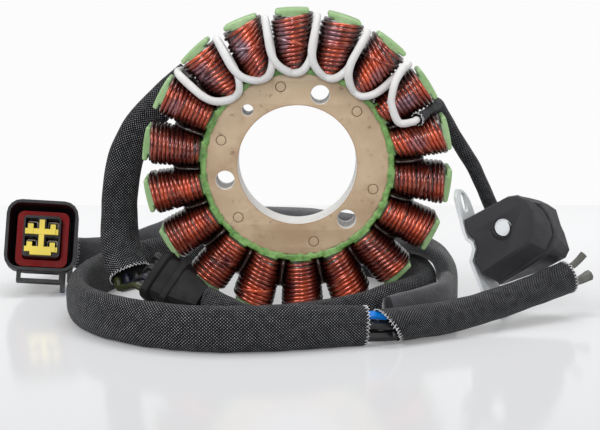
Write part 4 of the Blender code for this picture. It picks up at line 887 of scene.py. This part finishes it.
def makePoleShadow():
    pole = cadNodes["pulser_pole"]
    cap = max(pole.data.polygons, key=lambda polygon: -polygon.normal.y * polygon.area)
    normal = np.array((pole.matrix_world.to_3x3() @ cap.normal).normalized())
    rim = np.array([pole.matrix_world @ pole.data.vertices[i].co for i in cap.vertices])
    centre = (rim.min(axis=0) + rim.max(axis=0)) / 2 + normal * poleShadow["recess"]
    up = unit(np.array((0, 0, 1.0)) - normal[2] * normal)
    side = np.cross(up, normal)
    shiftSide, shiftUp = poleShadow["shift"]
    # the outer edge of the painted shadow is a larger circle, shifted down and sideways from the hole
    hole, worn = poleShadow["holeRadius"], poleShadow["shadowRadius"]
    outer, inner = [], []
    for step in range(72):
        c, s = math.cos(math.radians(5 * step)), math.sin(math.radians(5 * step))
        reach = shiftUp * c + shiftSide * s
        edge = reach + math.sqrt(worn ** 2 - shiftUp ** 2 - shiftSide ** 2 + reach ** 2)
        if edge > hole + 0.00004:
            outer.append(centre + (up * c + side * s) * edge)
            inner.append(centre + (up * c + side * s) * hole)
    outline = outer + inner[::-1]
    count = len(outline)
    verts = [point - normal * 0.0003 for point in outline] + [point + normal * 0.00004 for point in outline]
    faces = [(k, (k + 1) % count, count + (k + 1) % count, count + k) for k in range(count)]
    strip = [(k, k + 1, count - 2 - k, count - 1 - k) for k in range(len(outer) - 1)]
    faces += strip + [tuple(count + i for i in face) for face in strip]
    finishPiece(outward(meshPiece("poleShadow", verts, faces, finish["innerDark"], smooth=False)), "black_plastic")


makePoleShadow()


# Coated core: the bare laminated ring, its dimples, and the green coat over the yoke and the teeth

core = {
    "axisHeight": 0.055,
    "tipRadius": 0.0546,
    "yokeRadius": 0.0342,
    "boreRadius": 0.0210,
    "coatInner": 0.0320,
    "raggedness": 0.00036,
    "halfBare": 0.0075,
    "halfCoat": 0.00785,
    "neckHalf": 0.00375,
    "capHalf": 0.0060,
    "capThickness": 0.0021,
    "capCorner": 0.0008,
    "capRounding": 0.0007,
    "ringRounding": 0.00018,
    "boltDegrees": (72, 192, 312),
    "boltRadius": 0.0033,
    "boltCircle": 0.026,
    "locatingDegrees": 132,
    "locatingRadius": 0.0020,
    "dimpleDegrees": (42, 102, 162, 222, 282, 342),
    "dimpleCircle": 0.0281,
    "dimpleRadius": 0.0018,
}


def roundLoop(radius, centre=(0.0, 0.0), count=48):
    turns = [2 * math.pi * k / count for k in range(count)]
    return [(centre[0] + radius * math.cos(t), centre[1] + radius * math.sin(t)) for t in turns]


def onCircle(radius, degrees):
    return radius * math.cos(math.radians(degrees)), radius * math.sin(math.radians(degrees))


def teethLoop():
    tip, cap, corner, neck = core["tipRadius"], core["capHalf"], core["capCorner"], core["neckHalf"]
    under = tip - core["capThickness"]
    top = math.sqrt((tip - corner) ** 2 - (cap - corner) ** 2) + corner
    root = math.sqrt(core["yokeRadius"] ** 2 - neck ** 2)
    right = [(root, -neck), (under, -neck)]
    for step in range(5):
        turn = math.pi + math.pi / 2 * step / 4
        right.append((under + corner + corner * math.cos(turn), -cap + corner + corner * math.sin(turn)))
    for step in range(5):
        turn = -math.pi / 2 + math.pi / 2 * step / 4
        right.append((top - corner + corner * math.cos(turn), -cap + corner + corner * math.sin(turn)))
    arc = [(math.sqrt(tip ** 2 - s ** 2), s) for s in (-0.0034, -0.0017, 0.0, 0.0017, 0.0034)]
    shape = right + arc + [(r, -s) for r, s in reversed(right)]
    loop = []
    for number in range(18):
        angle = math.radians(12 + 20 * number)
        loop += [(r * math.cos(angle) - s * math.sin(angle), r * math.sin(angle) + s * math.cos(angle)) for r, s in shape]
        between = angle + math.radians(10)
        loop.append((core["yokeRadius"] * math.cos(between), core["yokeRadius"] * math.sin(between)))
    return loop


def raggedLoop():
    # the coat's inner edge wanders a little round the bare ring
    rng = random.Random(41)
    waves = [(rng.randint(3, 70), rng.uniform(0, 6.28), rng.uniform(0.3, 1.0)) for _ in range(14)]
    loop = []
    for k in range(300):
        turn = 2 * math.pi * k / 300
        drift = sum(size * math.sin(count * turn + phase) for count, phase, size in waves) / 4
        radius = core["coatInner"] + core["raggedness"] * max(-1.3, min(1.3, drift))
        loop.append((radius * math.cos(turn), radius * math.sin(turn)))
    return loop


def plateFrom(name, loops, halfDepth, rounding, material, steps=3):
    # a filled outline with its holes, thickened along Y, its edges rounded
    curve = bpy.data.curves.new(name, "CURVE")
    curve.dimensions = "2D"
    curve.fill_mode = "BOTH"
    curve.extrude = halfDepth - rounding
    curve.bevel_depth = rounding
    curve.bevel_resolution = steps
    curve.offset = -rounding
    for loop in loops:
        spline = curve.splines.new("POLY")
        spline.points.add(len(loop) - 1)
        for point, (x, z) in zip(spline.points, loop):
            point.co = (x, z, 0, 1)
        spline.use_cyclic_u = True
    maker = bpy.data.objects.new(name + "Outline", curve)
    bpy.context.scene.collection.objects.link(maker)
    bpy.context.view_layer.update()
    mesh = bpy.data.meshes.new_from_object(maker.evaluated_get(bpy.context.evaluated_depsgraph_get()))
    bpy.data.objects.remove(maker)
    work = bmesh.new()
    work.from_mesh(mesh)
    bmesh.ops.remove_doubles(work, verts=work.verts, dist=0.000004)
    bmesh.ops.recalc_face_normals(work, faces=work.faces)
    work.to_mesh(mesh)
    work.free()
    mesh.transform(Matrix.Translation((0, 0, core["axisHeight"])) @ Matrix.Rotation(math.pi / 2, 4, "X"))
    mesh.materials.clear()
    mesh.materials.append(material)
    mesh.polygons.foreach_set("material_index", [0] * len(mesh.polygons))
    mesh.shade_smooth()
    mesh.set_sharp_from_angle(angle=math.radians(40))
    piece = bpy.data.objects.new(name, mesh)
    bpy.context.scene.collection.objects.link(piece)
    return piece


def makeCore():
    dimples = [onCircle(core["dimpleCircle"], d) for d in core["dimpleDegrees"]]
    ringLoops = [roundLoop(core["coatInner"] + 0.0012, count=96), roundLoop(core["boreRadius"], count=120)]
    ringLoops += [roundLoop(core["boltRadius"], onCircle(core["boltCircle"], d), 40) for d in core["boltDegrees"]]
    ringLoops.append(roundLoop(core["locatingRadius"], onCircle(core["boltCircle"], core["locatingDegrees"]), 32))
    ringLoops += [roundLoop(core["dimpleRadius"], centre, 32) for centre in dimples]
    ring = plateFrom("bareRingPlate", ringLoops, core["halfBare"], core["ringRounding"], finish["bareRing"])
    plugs = plateFrom("dimplePlugs", [roundLoop(core["dimpleRadius"] - 0.00012, centre, 32) for centre in dimples],
                      core["halfBare"] - 0.00012, 0.0002, finish["bareRing"])
    coat = plateFrom("coatBody", [teethLoop(), raggedLoop()], core["halfCoat"], core["capRounding"], finish["coat"], 4)
    ring = joinPieces("laminatedRing", [ring, plugs])
    coat.name = "coatedTeeth"
    finishPiece(coat, "core_coat", "stator_core")
    finishPiece(ring, "core_coat", "stator_core")
    for piece in (ring, coat):
        piece.data.set_sharp_from_angle(angle=math.radians(40))


makeCore()
print("core made")


# Windings: turns of enamelled wire round each tooth

winding = {
    "axisHeight": 0.055,
    "firstTooth": 92.0,
    "innerRadius": 0.0347,
    "lacedRadius": 0.0339,
    "outerRadius": 0.0517,
    "lacedTeeth": (32, 52, 72, 92, 112, 132),
    "roundedShare": 0.30,
    "roundedCut": 0.72,
    "turns": 12,
    "wireRadius": 0.00072,
    "rootHalfWidth": 0.0054,
    "tipHalfWidth": 0.0069,
    "halfDepth": 0.01155,
    "rounding": 2.3,
    "jitter": 0.00022,
    "tilt": 0.0004,
    "pointsPerTurn": 32,
    "pointsRound": 8,
    # teeth whose turns lie at a slant, as how far a turn climbs from one side to the other
    "slants": {12: 0.0016, 52: -0.0030, 72: 0.0011, 92: 0.0009, 112: 0.0030, 132: -0.0009, 252: -0.0013, 292: 0.0012,
               312: -0.0008, 352: 0.0005},
    # patches of painted reflection on the varnish film: way across, way along, half sizes, strength
    "gleams": {
        132: ((-0.35, 0.62, 0.50, 0.34, 0.85),),
        112: ((-0.40, 0.62, 0.55, 0.32, 1.0),),
        92: ((-0.50, 0.58, 0.45, 0.42, 0.8),),
        72: ((-0.45, 0.72, 0.50, 0.26, 0.6), (0.5, 0.3, 0.3, 0.2, 0.4)),
        52: ((0.35, 0.45, 0.40, 0.30, 0.45),),
        32: ((0.20, 0.52, 0.50, 0.34, 0.9),),
        12: ((0.10, 0.45, 0.55, 0.25, 0.5),),
        152: ((-0.2, 0.75, 0.5, 0.2, 0.4),),
    },
    # teeth whose turns the varnish films over, as how far it stands up between them
    "films": {12: 0.00016, 32: 0.00016, 52: 0.00012, 72: 0.00018, 92: 0.00020, 112: 0.00020, 132: 0.00022},
    # stray turns laid across the others: tooth, way along the winding at the left and the right
    "strays": ((12, 0.15, 0.62), (12, 0.30, 0.80), (52, 0.80, 0.30), (52, 0.55, 0.85), (112, 0.25, 0.75),
               (112, 0.70, 0.45), (72, 0.45, 0.70), (92, 0.62, 0.38), (132, 0.55, 0.80), (292, 0.35, 0.62),
               (252, 0.60, 0.82), (272, 0.72, 0.84), (332, 0.30, 0.44), (192, 0.30, 0.55), (212, 0.75, 0.55),
               (232, 0.35, 0.60), (352, 0.66, 0.50), (152, 0.60, 0.80)),
}


def halfWidthAt(share, laced=False):
    wide = winding["rootHalfWidth"] + (winding["tipHalfWidth"] - winding["rootHalfWidth"]) * min(1.0, 1.15 * share) ** 0.8
    if laced and share < winding["roundedShare"]:
        left = 1 - share / winding["roundedShare"]
        wide *= math.sqrt(1 - winding["roundedCut"] * left * left)
    return wide


def rootRadius(laced):
    return winding["lacedRadius"] if laced else winding["innerRadius"]


def halfDepthAt(share):
    return winding["halfDepth"] - 0.0016 * max(0.0, 1 - share * 8) - 0.0008 * max(0.0, share - 0.86) / 0.14


def turnPoint(phase, radial, halfWidth, halfDepth, tilt):
    c, s = math.cos(phase), math.sin(phase)
    power = 2 / winding["rounding"]
    x = halfWidth * math.copysign(abs(c) ** power, c)
    y = halfDepth * math.copysign(abs(s) ** power, s)
    return np.array((x, y, radial + tilt * x / halfWidth))


def toneWire(piece, rng, perTurn, pointsRound, gleams=()):
    # one tone for each turn, painted shade on the flanks with darker varnish there too, and painted reflection patches
    # on the varnish film, read by the enamel
    mesh = piece.data
    tones = [rng.uniform(0.0, 1.0) for _ in range(80)]
    places = np.array([v.co for v in mesh.vertices])
    share = np.clip((places[:, 2] - winding["innerRadius"]) / (winding["outerRadius"] - winding["innerRadius"]), 0, 1)
    wide = np.array([halfWidthAt(s) for s in share])
    side = places[:, 0] / wide
    at = np.arange(len(places)) / pointsRound / perTurn
    k = at.astype(int)
    tones = np.array(tones)
    setValues(mesh, "tone", tones[k] * (1 - (at - k)) + tones[k + 1] * (at - k))
    setValues(mesh, "shadedFlank", np.clip((np.abs(side) - 0.30) / 0.6, 0, 1) * 0.92)
    filmReflection = np.zeros(len(places))
    for centreSide, centreShare, halfSide, halfShare, strength in gleams:
        away = np.hypot((side - centreSide) / halfSide, (share - centreShare) / halfShare)
        filmReflection = np.maximum(filmReflection, np.clip(1.6 - 1.6 * away, 0, 1) * strength)
    setValues(mesh, "filmReflection", np.where(places[:, 1] < 0, filmReflection, 0))


def setValues(mesh, name, values):
    layer = mesh.attributes.new(name, "FLOAT", "POINT")
    layer.data.foreach_set("value", np.array(values, np.float32))


def strayTurns(number, toothAngle, rng):
    found = []
    for tooth, left, right in winding["strays"]:
        if tooth != round(toothAngle) % 360:
            continue
        span = winding["outerRadius"] - winding["innerRadius"]
        points = []
        for step in range(19):
            turn = math.radians(-30 - 120 * step / 18)
            side = 0.5 + 0.5 * math.cos(turn)
            share = left + (right - left) * side
            lift = winding["wireRadius"] * (1.35 if 2 < step < 16 else 0.4)
            point = turnPoint(turn, winding["innerRadius"] + span * share, halfWidthAt(share) + lift * 0.5,
                              halfDepthAt(share) + lift * 0.62, 0)
            points.append(point)
        points = np.array(smoothRows(points, 0.0008))
        along, ups, sides = carriedFrames(points, (0, 0, 1))
        section = ringSection(winding["wireRadius"] * 0.94, winding["pointsRound"])
        wire = sweptPiece(f"strayTurn{number}_{len(found)}", points, ups, sides, [section] * len(points),
                          finish["enamel"])
        toneWire(wire, rng, 400, winding["pointsRound"], winding["gleams"].get(round(toothAngle) % 360, ()))
        found.append(wire)
    return found


def makeWinding(number, toothAngle):
    rng = random.Random(100 + number)
    turns, perTurn = winding["turns"], winding["pointsPerTurn"]
    laced = round(toothAngle) % 360 in winding["lacedTeeth"]
    inner = rootRadius(laced)
    baseTilt = winding["slants"].get(round(toothAngle) % 360, rng.uniform(-1, 1) * winding["tilt"])
    shifts = [rng.uniform(-1, 1) * winding["jitter"] for _ in range(turns + 2)]
    tilts = [baseTilt + rng.uniform(-1, 1) * winding["tilt"] for _ in range(turns + 2)]
    depths = [rng.uniform(-1, 0.25) * 0.00030 for _ in range(turns + 2)]
    points = []
    pitch = (winding["outerRadius"] - inner) / (turns - 0.3)
    for step in range(turns * perTurn + 1):
        turn = step / perTurn
        k = int(turn)
        blend = turn - k
        share = min(1.0, turn / turns)
        smooth = blend * blend * (3 - 2 * blend)
        shift = shifts[k] * (1 - smooth) + shifts[k + 1] * smooth
        tilt = tilts[k] * (1 - smooth) + tilts[k + 1] * smooth
        depth = depths[k] * (1 - smooth) + depths[k + 1] * smooth
        # a slanted turn levels out where the yoke or the cap would stop it
        room = min(share, 1 - share) * (winding["outerRadius"] - inner)
        tilt = max(-room - 0.0004, min(room + 0.0004, tilt))
        radial = min(max(inner + pitch * turn + shift, inner), winding["outerRadius"])
        points.append(turnPoint(2 * math.pi * blend + math.pi / 2, radial, halfWidthAt(share, laced),
                                halfDepthAt(share) + depth, tilt))
    points = np.array(points)
    along, ups, sides = carriedFrames(points, (0, 0, 1))
    section = ringSection(winding["wireRadius"], winding["pointsRound"])
    wire = sweptPiece(f"windingWire{number}", points, ups, sides, [section] * len(points), finish["enamel"])
    toneWire(wire, rng, perTurn, winding["pointsRound"], winding["gleams"].get(round(toothAngle) % 360, ()))
    parts = [wire, innerBody(number, toothAngle)] + strayTurns(number, toothAngle, rng)
    piece = joinWithTone(f"winding_{number:02d}", parts)
    turnTo = Matrix.Translation((0, 0, winding["axisHeight"])) @ Matrix.Rotation(
        math.radians(90 - toothAngle), 4, "Y")
    piece.data.transform(turnTo)
    return piece


def joinWithTone(name, parts):
    kept = {}
    for layerName in ("tone", "shadedFlank", "filmReflection"):
        kept[layerName] = []
        for part in parts:
            values = np.zeros(len(part.data.vertices), np.float32)
            layer = part.data.attributes.get(layerName)
            if layer:
                layer.data.foreach_get("value", values)
            kept[layerName].append(values)
    piece = joinPieces(name, parts)
    for layerName, values in kept.items():
        setValues(piece.data, layerName, np.concatenate(values))
    return piece


def innerBody(number, toothAngle):
    # the layers under the outer turns, with the varnish that stands up between them in patches
    rng = random.Random(700 + number)
    film = winding["films"].get(round(toothAngle) % 360, 0.00005)
    laced = round(toothAngle) % 360 in winding["lacedTeeth"]
    inner = rootRadius(laced)
    waves = [(rng.uniform(0.8, 3.2), rng.uniform(0, 6.28), rng.uniform(2, 9), rng.uniform(0, 6.28)) for _ in range(5)]
    rings, count = 22, 64
    verts, faces = [], []
    for r in range(rings + 1):
        share = r / rings
        radial = inner - 0.0003 + (winding["outerRadius"] - inner + 0.0006) * share
        for i in range(count):
            turn = 2 * math.pi * i / count
            patch = sum(math.sin(a * turn + b) * math.sin(c * share + d) for a, b, c, d in waves) / 2.2
            lift = -0.0003 + (film + 0.0003) * max(0.0, min(1.0, 0.55 + patch)) if film > 0.0001 else -0.0002
            verts.append(turnPoint(turn, radial, halfWidthAt(share, laced) + lift, halfDepthAt(share) + lift, 0))
    for r in range(rings):
        for i in range(count):
            j = (i + 1) % count
            faces.append((r * count + i, r * count + j, (r + 1) * count + j, (r + 1) * count + i))
    faces.append(tuple(range(count))[::-1])
    faces.append(tuple(rings * count + i for i in range(count)))
    kind = "film" if film > 0.0001 else "varnish"
    return outward(meshPiece(f"windingInner{number}", verts, faces, finish[kind]))


for number in range(1, 19):
    toothAngle = winding["firstTooth"] + 20 * (number - 1)
    finishPiece(makeWinding(number, toothAngle), "enamelled_copper", f"coil_{number:02d}")
print("windings made")


# Varnish that has pooled between the roots of the windings

varnish = {
    "inner": 0.0340,
    "outer": 0.0450,
    "halfDepth": 0.0100,
}


def makeVarnish():
    parts = []
    for number in range(18):
        rng = random.Random(300 + number)
        angle = 12 + 20 * number + 10
        outer = varnish["outer"] + rng.uniform(-0.0012, 0.0016)
        rows, verts, faces = 9, [], []
        count = 12
        for r in range(rows):
            share = r / (rows - 1)
            radial = varnish["inner"] + (outer - varnish["inner"]) * share
            gapHalf = max(0.0003, radial * math.tan(math.radians(10)) - halfWidthAt(max(0, (radial - 0.035) / 0.0164)) + 0.0006)
            deep = varnish["halfDepth"] * math.sqrt(max(0.02, 1 - share ** 2.2)) if r else varnish["halfDepth"] * 0.92
            for i in range(count):
                turn = 2 * math.pi * i / count
                lump = 1 + rng.uniform(-1, 1) * 0.05
                verts.append((gapHalf * math.cos(turn) * lump, deep * math.sin(turn) * lump, radial))
        for r in range(rows - 1):
            for i in range(count):
                j = (i + 1) % count
                faces.append((r * count + i, r * count + j, (r + 1) * count + j, (r + 1) * count + i))
        faces.append(tuple(range(count))[::-1])
        faces.append(tuple((rows - 1) * count + i for i in range(count)))
        pool = outward(meshPiece(f"varnishPool{number}", verts, faces, finish["varnish"]))
        pool.data.transform(Matrix.Translation((0, 0, core["axisHeight"]))
                            @ Matrix.Rotation(math.radians(90 - angle), 4, "Y"))
        parts.append(pool)
    pools = joinPieces("rootVarnish", parts)
    smoother = pools.modifiers.new("softer", "SUBSURF")
    smoother.levels = 1
    smoother.render_levels = 1
    finishPiece(pools, "enamelled_copper")


makeVarnish()
print("varnish made")


# White woven tube laced round the roots of the upper windings

lacing = {
    "radius": 0.00138,
    "teeth": (132.0, 112.0, 92.0, 72.0, 52.0),
    "start": ((142.3, 0.0490, 0.0146), (142.3, 0.0518, 0.0085), (142.3, 0.0528, 0.0), (142.3, 0.0526, -0.0060)),
    "loop": (
        (10.4, 0.0508, -0.0096), (10.7, 0.0460, -0.0119), (10.9, 0.0410, -0.0129), (9.5, 0.0370, -0.0127),
        (5.5, 0.0340, -0.0114), (0.5, 0.0327, -0.0098), (-4.5, 0.0332, -0.0109), (-7.9, 0.0360, -0.0117),
        (-9.4, 0.0395, -0.0108), (-9.6, 0.0440, -0.0090), (-9.6, 0.0485, -0.0075), (-9.6, 0.0512, -0.0070),
        (-9.6, 0.0524, -0.0082),
    ),
    "hook": (
        (11.0, 0.0504, -0.0097), (10.2, 0.0470, -0.0116), (8.9, 0.0444, -0.0134), (5.5, 0.0412, -0.0141),
        (2.3, 0.0394, -0.0141), (-4.0, 0.0383, -0.0140), (-8.0, 0.0386, -0.0135), (-9.6, 0.0402, -0.0136),
    ),
}


def facePoint(angle, radial, depth):
    turn = math.radians(angle)
    return (radial * math.cos(turn), depth, 0.055 + radial * math.sin(turn))


def makeLacing():
    route = [facePoint(*row) for row in lacing["start"]]
    for tooth in lacing["teeth"]:
        route += [facePoint(tooth + turn, radial, depth) for turn, radial, depth in lacing["loop"]]
    last = lacing["teeth"][-1] - 20
    route += [facePoint(last + turn, radial, depth) for turn, radial, depth in lacing["hook"]]
    way = unit(np.array(pulserRoute[0][:3]) - np.array(pulserRoute[1][:3]))
    mouth = np.array(pulserRoute[0][:3]) + way * 0.0003
    route += [tuple(mouth + way * 0.0020), tuple(mouth)]
    points = smoothRows(route, 0.0009)
    along, ups, sides = carriedFrames(points, (0, 1, 0))
    rng = random.Random(8)
    phase = [rng.uniform(0, 6.28) for _ in range(3)]
    sections = []
    for k in range(len(points)):
        swell = 1 + 0.05 * math.sin(k * 0.31 + phase[0]) + 0.04 * math.sin(k * 0.13 + phase[1])
        sections.append(ringSection(lacing["radius"], 14) * np.array((swell, 2 - swell)))
    piece = sweptPiece("whiteLacing", points, ups, sides, sections, finish["whiteTube"])
    return finishPiece(piece, "white_tube", "lead_tube")


makeLacing()
print("lacing made")


print("done")
